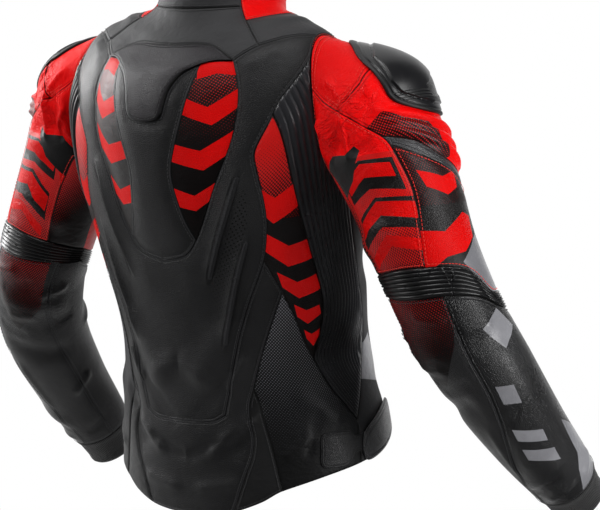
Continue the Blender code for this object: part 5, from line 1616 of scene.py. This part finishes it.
# %% Every finish of the jacket
FINISH = {
    # In a cowhide, seam is the colour of the painted shade in its seams; worn is the colour of the
    # crest beside them, rubbed lighter and with a painted highlight.
    "black cowhide": cowhide("black_cowhide", "1b1b1c", "232324", 0.40, worn="2c2c2e",
                             gloss=0.20),
    "gloss cowhide": cowhide("glossy_black_cowhide", "151516", "1b1b1c", 0.30, gloss=0.34),
    "red cowhide": cowhide("red_cowhide", "d60203", "e60405", 0.42, wrinkle=0.00030,
                           worn="ee0c0e", seam="4a0404", gloss=0.08, crush=0.0015),
    "punched": perforated("punched_black_cowhide", "1b1b1c", "232324", 0.44, 0.0042, 0.0009),
    "plate": cowhide("embossed_plate", "171418", "1e1b1f", 0.46, grain=0.0018, gloss=0.24),
    "softshell": woven("black_softshell", "1c1c1e", "242426", 0.66, 0.0016, 0.00012, 0.04),
    "stretch": woven("elbow_accordion", "101011", "171718", 0.28, 0.0016, 0.00010,
                     0.05, 0.0003),
    "side stretch": woven("side_accordion", "1d1d1f", "27272a", 0.30, 0.0016, 0.00010,
                          0.05, 0.0003),
    "gusset": woven("black_gusset", "0c0c0d", "121213", 0.60, 0.0018, 0.00015),
    "dots": dotted("dotted_print", "0a0404", "c40603", 0.46),
    "grey dots": dotted("grey_dotted_mesh", "070708", "6c6c72", 0.55, 0.0030),
    "red ink": cowhide("red_print", "c40302", "d00504", 0.44, gloss=0.08, sewn=False,
                       crush=0.0010),
    "black ink": cowhide("black_print", "120f0f", "181515", 0.38, gloss=0.24, sewn=False),
    "grey film": woven("grey_reflective_film", "66666a", "7a7a7e", 0.36, 0.0018, 0.00008),
    "dark film": cowhide("dark_grey_coated_leather", "262628", "323234", 0.36),
    "cup": grooved("moulded_cup", "141416", 0.32),
    "cup rim": plain_solid("cup_rim_rubber", "0b0b0c", 0.50),
    "cup net": perforated("cup_grille", "141416", "1a1a1c", 0.34, 0.0034, 0.0011),
    "web": cords("elastic_web", "090909", "161618", 0.60, 0.0024, 0.0004, "Y"),
    "knit": cords("rib_knit", "070708", "111112", 0.80, 0.0036, 0.0008, "X"),
    "lining": woven("mesh_lining", "141416", "222225", 0.80, 0.0026, 0.00030, 0.3),
    "tape": woven("zip_tape", "0b0b0c", "111112", 0.75, 0.0014, 0.00010),
    "teeth": plain_solid("coated_zip_metal", "3a3a3d", 0.32, 0.9),
    "red thread": cords("red_thread", "e02a1c", "ff5a44", 0.60, 0.0006, 0.0001),
    "black thread": cords("black_thread", "2a2a2c", "434346", 0.55, 0.0006, 0.0001),
}
print(len(FINISH), "finishes")

# %% [markdown]
# ## Dressing the model
#
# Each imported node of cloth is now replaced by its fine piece. The pieces differ only by their
# place on the maps and by their ground finish, so one loop makes them all.

# %% The ground finish of every piece
GROUND = {
    "collar_back": "softshell", "collar_side": "red cowhide", "yoke_back": "softshell",
    "yoke_side": "softshell", "front_chest": "red cowhide", "hump_cap": "plate",
    "hump_spine": "black cowhide", "hump_window": "dots", "back_harness": "black cowhide",
    "back_lower": "black cowhide", "side_tail": "gusset", "side_mesh": "grey dots",
    "side_shard": "dots", "side_stretch": "side stretch", "front_side": "softshell",
    "front_body": "black cowhide", "front_zip": "tape", "sleeve_cap": "red cowhide",
    "sleeve_ribs": "red cowhide", "sleeve_band": "dark film", "sleeve_outer": "dots",
    "sleeve_back": "red cowhide", "sleeve_front": "red cowhide", "sleeve_gusset": "dots",
    "elbow_band": "stretch", "forearm_back": "black cowhide",
    "forearm_outer": "gloss cowhide", "forearm_inner": "black cowhide", "cuff_knit": "knit",
}

# %% Make one piece, and state its cut

def flat_size(points, area_on_form, area_on_map):
    """Width and length of the smallest rectangle round a piece's flat pattern."""
    grow = area_on_form / area_on_map
    flat = (points - points.mean(0)) * np.array([grow, 1.0])
    best = None
    for angle in np.radians(np.arange(0, 90, 3)):
        turned = flat @ np.array([[np.cos(angle), -np.sin(angle)],
                                  [np.sin(angle), np.cos(angle)]])
        size = turned.max(0) - turned.min(0)
        if best is None or size.prod() < best.prod():
            best = size
    width, length = sorted(best)
    if area_on_form < 0.36 * width * length:    # a narrow strip is cut straight and eased in
        width = area_on_form / length / 0.95
    return float(max(width, 0.012)), float(length)


def area_of(points, faces):
    """The area of some triangles."""
    a, b, c = (points[faces[:, k]] for k in range(3))
    return 0.5 * np.linalg.norm(np.cross(b - a, c - a), axis=1).sum()


cut_list = []


def dress(name, which, kind, sides):
    """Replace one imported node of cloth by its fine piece, and state the size of its cut."""
    parts = [cloth_part(which, kind, side, GROUND[kind]) for side in sides]
    piece = sew(name + "_cloth", parts)
    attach(piece, "jacket")
    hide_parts(name)
    on_form = sum(area_of(p["outer"], p["faces"]) for p in parts)
    flat = np.vstack([p["uv"] * np.array([s if len(sides) > 1 else 1, 1])
                      for p, s in zip(parts, sides)])
    if which == "body" and kind == "front_zip":
        flat[:, 0] = np.where(flat[:, 0] < 0, flat[:, 0] + 2 * HALF_GIRTH, flat[:, 0])
    if kind in ("sleeve_gusset", "forearm_inner"):
        flat[:, 0] = flat[:, 0] % (360 * ARC)
    on_map = sum(area_of(np.c_[p["uv"], np.zeros(len(p["uv"]))], p["faces"]) for p in parts)
    width, length = flat_size(flat, on_form, on_map)
    area = min(float(on_form), width * length)
    cut_list.append((name, width, length, area))


# %% Sew every piece
for which, pieces in MAP_PIECES.items():
    for kind in dict.fromkeys(p[0] for p in pieces):
        if kind in CENTRE_PIECES:
            dress(kind, which, kind, (1, -1))
        else:
            for ending, side in (("_l", 1), ("_r", -1)):
                dress(kind + ending, which, kind, (side,))
print(len(cut_list), "pieces of cloth,", round(sum(c[3] for c in cut_list), 3), "m2")
for name, width, length, area in cut_list:
    print(f"  {name:16s} {width * 1000:5.0f} x {length * 1000:5.0f} mm, {area * 1e4:6.0f} cm2")

# %% [markdown]
# ## Cups and waist straps
#
# The shoulder cup is a hard shell in three levels: a soft rim, a groove and a raised plate
# with a grille near the front. It is made from the sleeve's own points, moved out, so it sits
# on the sleeve with no gap. The waist's adjuster is made the same way from the body's points.


# %% Make what lies on a panel
def depth_in(outline, scale, a, b):
    """Distance into a straight-sided outline, in metres, below zero outside it."""
    flat = np.array([scale, 1.0])
    points = np.stack([a, b], -1) * flat
    corners = np.array(outline) * flat
    least = np.full(len(points), 9.0)
    for p, q in zip(corners, np.roll(corners, -1, 0)):
        way = q - p
        t = np.clip((points - p) @ way / way.dot(way), 0, 1)
        least = np.minimum(least, np.hypot(*(points - p - t[:, None] * way).T))
    return np.where(inside(corners, points), least, -least)


def cup_profile(edge, phi, w):
    """Thickness of the shoulder cup: a rolled rim, a flange and a raised plate."""
    rim = 0.0018 + 0.0016 * np.clip(edge / 0.0016, 0, 1) ** 0.5
    rim -= 0.0011 * bump(edge - 0.0045, 0.0008)
    deep = depth_in(CUP_PLATE, ARC, phi, w)
    plate = 0.0022 * np.clip(deep / 0.0010, 0, 1) - 0.0008 * bump(deep + 0.0008, 0.0007)
    well = -0.0013 * np.clip(depth_in(CUP_WELL, ARC, phi, w) / 0.0009, 0, 1)
    return rim + plate + well


def base_profile(edge, u, v):
    """Thickness of the waist's base, with a stitched border."""
    return 0.0012 + 0.0008 * np.clip(edge / 0.002, 0, 1) - 0.0004 * bump(edge - 0.0035, 0.0008)


def tab_profile(edge, u, v):
    """Thickness of the waist's tab, with a pressed border."""
    return 0.0014 + 0.0014 * np.clip(edge / 0.002, 0, 1) - 0.0006 * bump(edge - 0.0052, 0.0009)


def cup_finish(phi, w, edge):
    """Rim, plate and grille of the shoulder cup."""
    finish = np.where(edge > 0.0045, "cup", "cup rim").astype(object)
    finish[depth_in(CUP_WELL, ARC, phi, w) > 0] = "cup net"
    return finish


def base_finish(u, v, edge):
    """The leather patch and the elastic strap that comes out of it."""
    return np.where(u > 0.2655, "web", "black cowhide").astype(object)


def tab_finish(u, v, edge):
    """The tab is one piece of coated leather."""
    return np.full(len(u), "dark film", object)


OVERLAY_LOOKS = {"shoulder_cup": (cup_profile, cup_finish, "cup rim"),
                 "waist_base": (base_profile, base_finish, "web"),
                 "waist_tab": (tab_profile, tab_finish, "dark film")}
REFINE = {"shoulder_cup": 2, "waist_base": 1, "waist_tab": 1}   # a hard shell's crisp steps
CUP_LOWER = (8, 10)         # the corners of the cup's outline at both ends of its lower edge
UNDER_PIECE = {"shoulder_cup": "sleeve_ribs", "waist_base": "", "waist_tab": ""}


def lower_edge(phi, w):
    """Distance from the cup's lower edge, a line between two of its corners."""
    start, end = (np.array([CUP[k][0] * ARC, CUP[k][1]]) for k in CUP_LOWER)
    run = (end - start) / np.linalg.norm(end - start)
    return (w - start[1]) * -abs(run[0]) + (phi * ARC - start[0]) * run[1] * np.sign(run[0])


def refine(points, faces):
    """Split every triangle into four at the middles of its edges."""
    pairs = np.sort(faces[:, [[0, 1], [1, 2], [2, 0]]], axis=2).reshape(-1, 2)
    pairs, middle = np.unique(pairs, axis=0, return_inverse=True)
    ab, bc, ca = middle.reshape(-1, 3).T + len(points)
    a, b, c = faces.T
    split = [np.stack(f, -1) for f in ((a, ab, ca), (ab, b, bc), (ca, bc, c), (ab, bc, ca))]
    return np.vstack([points, points[pairs].mean(1)]), np.vstack(split)


def overlay_part(kind, side):
    """The points, faces and finishes of one overlay."""
    _, which, outline, clear = next(o for o in OVERLAYS if o[0] == kind)
    profile, finish, _ = OVERLAY_LOOKS[kind]
    verts, faces, names = CUTS[which]
    scale = MAPS[which][1]
    flat = np.array([scale, 1.0])
    middle = verts[faces].mean(1)
    chosen = faces[inside(dense_line(outline, scale, True)[:-1], middle)]
    used, chosen = np.unique(chosen, return_inverse=True)
    corners, chosen = verts[used], chosen.reshape(-1, 3)
    for _ in range(REFINE[kind]):
        corners, chosen = refine(corners, chosen)
    a, b = corners.T
    points = corners * flat
    rim = seam_edges(chosen, a, which)
    edge = near(quarter_tree((points[i], points[j]) for i, j in rim), points)
    place, normal = surface_frame(which, a, b, side)
    low = HEIGHTS[which](a, b, UNDER_PIECE[kind]) + clear
    top = low + profile(edge, a, b)
    looks = finish(*corners[chosen].mean(1).T, edge[chosen].mean(1))
    if MAPS[which][2] * side < 0:
        chosen, rim = chosen[:, ::-1], rim[:, ::-1]
    return {"outer": place + normal * top[:, None], "inner": place + normal * low[:, None],
            "faces": chosen, "rim": rim, "finish": looks, "uv": points,
            "gap": edge + 0.002, "ink": lower_edge(a, b) if kind == "shoulder_cup" else edge * 0,
            "wear": edge * 0}


for kind in OVERLAY_LOOKS:
    for ending, side in (("_l", 1), ("_r", -1)):
        part = overlay_part(kind, side)
        piece = sew(kind + ending + "_shape", [part], OVERLAY_LOOKS[kind][2])
        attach(piece, "jacket")
        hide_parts(kind + ending)
        print(kind + ending, len(part["faces"]), "faces")

# %% [markdown]
# ## Stitches and zip teeth
#
# A seam is sewn flat by one or two rows of stitches beside it. Thousands of equal small things
# along a path are work for Geometry Nodes: the script only lays out points with a direction,
# and one node tree puts a stitch or a tooth on each, makes them real and gives the material.


# %% A node tree that sets one small solid on every point
def setting_tree(name, solid, size, material):
    """Instances of a small solid on points, turned by the points' own directions."""
    tree = bpy.data.node_groups.new(name, "GeometryNodeTree")
    face = tree.interface
    face.new_socket("Points", in_out="INPUT", socket_type="NodeSocketGeometry")
    length = face.new_socket("Length", in_out="INPUT", socket_type="NodeSocketFloat")
    width = face.new_socket("Width", in_out="INPUT", socket_type="NodeSocketFloat")
    height = face.new_socket("Height", in_out="INPUT", socket_type="NodeSocketFloat")
    face.new_socket("Set", in_out="OUTPUT", socket_type="NodeSocketGeometry")
    start, end = add(tree, "NodeGroupInput"), add(tree, "NodeGroupOutput")
    for socket, value in zip((length, width, height), size):
        socket.default_value = value
    if solid == "thread":
        bar = add(tree, "GeometryNodeMeshCylinder", in_Vertices=6, in_Radius=0.5, in_Depth=1.0)
        turned = add(tree, "GeometryNodeTransform", [("Geometry", bar.outputs[0])],
                     in_Rotation=(0, pi / 2, 0))
    else:
        turned = add(tree, "GeometryNodeMeshCube", in_Size=(1, 1, 1))
    upright = add(tree, "GeometryNodeInputNamedAttribute", data_type="FLOAT_VECTOR",
                  in_Name="out")
    along = add(tree, "GeometryNodeInputNamedAttribute", data_type="FLOAT_VECTOR",
                in_Name="along")
    stand = add(tree, "FunctionNodeAlignRotationToVector", [("Vector", upright.outputs[0])],
                axis="Z")
    turn = add(tree, "FunctionNodeAlignRotationToVector",
               [("Rotation", stand.outputs[0]), ("Vector", along.outputs[0])],
               axis="X", pivot_axis="Z")
    scale = add(tree, "ShaderNodeCombineXYZ", [(0, start.outputs["Length"]),
                                               (1, start.outputs["Width"]),
                                               (2, start.outputs["Height"])])
    setter = add(tree, "GeometryNodeInstanceOnPoints",
                 [("Points", start.outputs["Points"]), ("Instance", turned.outputs[0]),
                  ("Rotation", turn.outputs[0]), ("Scale", scale.outputs[0])])
    real = add(tree, "GeometryNodeRealizeInstances", [("Geometry", setter.outputs[0])])
    coloured = add(tree, "GeometryNodeSetMaterial", [("Geometry", real.outputs[0])],
                   in_Material=material)
    tree.links.new(coloured.outputs[0], end.inputs[0])
    return tree


def set_out(name, places, along, out, tree, body):
    """One plain mesh with a small solid on every place."""
    data = bpy.data.meshes.new(name + "_points")
    data.from_pydata(places.tolist(), [], [])
    for label, vectors in (("along", along), ("out", out)):
        layer = data.attributes.new(label, "FLOAT_VECTOR", "POINT")
        layer.data.foreach_set("vector", vectors.astype(np.float32).ravel())
    points = placed(name + "_points", data)
    modifier = points.modifiers.new("set", "NODES")
    modifier.node_group = tree
    graph = bpy.context.evaluated_depsgraph_get()
    mesh = bpy.data.meshes.new_from_object(points.evaluated_get(graph))
    piece = placed(name, mesh)
    bpy.data.objects.remove(points, do_unlink=True)
    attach(piece, body)
    print(name, len(places), "set,", len(mesh.polygons), "faces")


# %% Rows of stitches beside the seams
STITCH_PITCH = 0.0042       # one stitch and its gap
STITCH_SIZE = (0.0030, 0.00075, 0.00060)
STITCH_ROWS = {             # piece: distances of its rows from the seam, in metres
    **dict.fromkeys(("yoke_back", "yoke_side", "collar_side", "collar_back", "hump_cap",
                     "hump_spine", "back_harness", "back_lower", "front_body", "front_chest",
                     "sleeve_back", "sleeve_front", "sleeve_outer", "forearm_outer",
                     "forearm_inner", "forearm_back", "side_tail"), (STITCH_LINE,)),
    "sleeve_cap": (STITCH_LINE, 0.0062),
}
RED_PIECES = ("collar_side", "front_chest", "sleeve_cap", "sleeve_back", "sleeve_front",
              "sleeve_outer")


def row_points(which, distance):
    """Flat places and directions beside every seam of a map, with the piece they lie on."""
    scale = MAPS[which][1]
    flat = np.array([scale, 1.0])
    lines = [dense_line(s, scale) * flat for s in MAP_SEAMS[which]] + [hole_line(which) * flat]
    lines = [line for line in lines if not on_fold(line[:, 0] / scale, which).all()]
    fixed = quarter_tree((p, q) for line in lines for p, q in zip(line, line[1:]))
    verts, faces, names = CUTS[which]
    centres = (verts * flat)[faces].mean(1)
    finder = distance_tree(centres)
    places, ways = [], []
    for line in lines:
        step = np.linalg.norm(np.diff(line, axis=0), axis=1)
        length = np.concatenate([[0], np.cumsum(step)])
        at = np.arange(STITCH_PITCH / 2, length[-1], STITCH_PITCH)
        for shift in (-1, 1):
            p = np.stack([np.interp(at, length, line[:, k]) for k in (0, 1)], -1)
            q = np.stack([np.interp(at + 1e-4, length, line[:, k]) for k in (0, 1)], -1)
            way = (q - p) / 1e-4
            side = np.stack([way[:, 1], -way[:, 0]], -1)
            places.append(p + side * shift * distance)
            ways.append(way)
    places, ways = np.vstack(places), np.vstack(ways)
    clear = near(fixed, places) > distance * 0.93
    places, ways = places[clear], ways[clear]
    owner = np.array([names[finder.find((x, y, 0))[1]] or "" for x, y in places])
    return places / flat, ways / flat, owner


def stitch_points(which, side):
    """Places, directions and normals of all the stitches of one map, by thread."""
    threads = {"red": [], "black": []}
    for distance in sorted({d for rows in STITCH_ROWS.values() for d in rows}):
        places, ways, owner = row_points(which, distance)
        for piece in sorted(set(owner)):
            if distance not in STITCH_ROWS.get(piece, ()):
                continue
            a, b = places[owner == piece].T
            da, db = ways[owner == piece].T * 1e-3
            spots = []
            for x, y in ((a, b), (a + da, b + db)):
                place, normal = surface_frame(which, x, y, side)
                spots.append(place + normal * HEIGHTS[which](x, y, piece)[:, None])
            along = spots[1] - spots[0]
            along /= np.maximum(np.linalg.norm(along, axis=1, keepdims=True), 1e-12)
            thread = "red" if piece in RED_PIECES else "black"
            threads[thread].append((spots[0] + normal * 0.0001, along, normal))
    return threads


found = {"red": [], "black": []}
for which in ("body", "sleeve"):
    for side in (1, -1):
        for thread, rows in stitch_points(which, side).items():
            found[thread] += rows
for thread, rows in found.items():
    places, along, out = (np.vstack([row[k] for row in rows]) for k in range(3))
    tree = setting_tree(thread + "_stitch", "thread", STITCH_SIZE, FINISH[thread + " thread"])
    set_out(thread + "_stitches", places, along, out, tree, "jacket")

# %% The zip's teeth
TOOTH_PITCH = 0.0024
TOOTH_SIZE = (0.0034, 0.0013, 0.0016)       # across, along the zip, out of the tape
run = np.arange(COLLAR_TOP + 0.003, HEM_ZIP[1] - 0.003, TOOTH_PITCH)
offset = np.where(np.arange(len(run)) % 2 == 0, -0.0008, 0.0008)
middle = np.full(len(run), HALF_GIRTH)
place, normal = surface_frame("body", middle, run, 1)
lifted = place + normal * (body_height(middle, run, "") + 0.0005)[:, None]
lifted[:, 0] += offset
tree = setting_tree("tooth", "cube", TOOTH_SIZE, FINISH["teeth"])
set_out("zip_teeth", lifted, np.tile([1.0, 0, 0], (len(run), 1)), normal, tree, "jacket")

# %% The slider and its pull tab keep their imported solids
for name in ("zip_slider", "zip_pull"):
    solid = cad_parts[name]
    solid.data.materials.clear()
    solid.data.materials.append(FINISH["teeth"])
    print(name, "in coated metal")
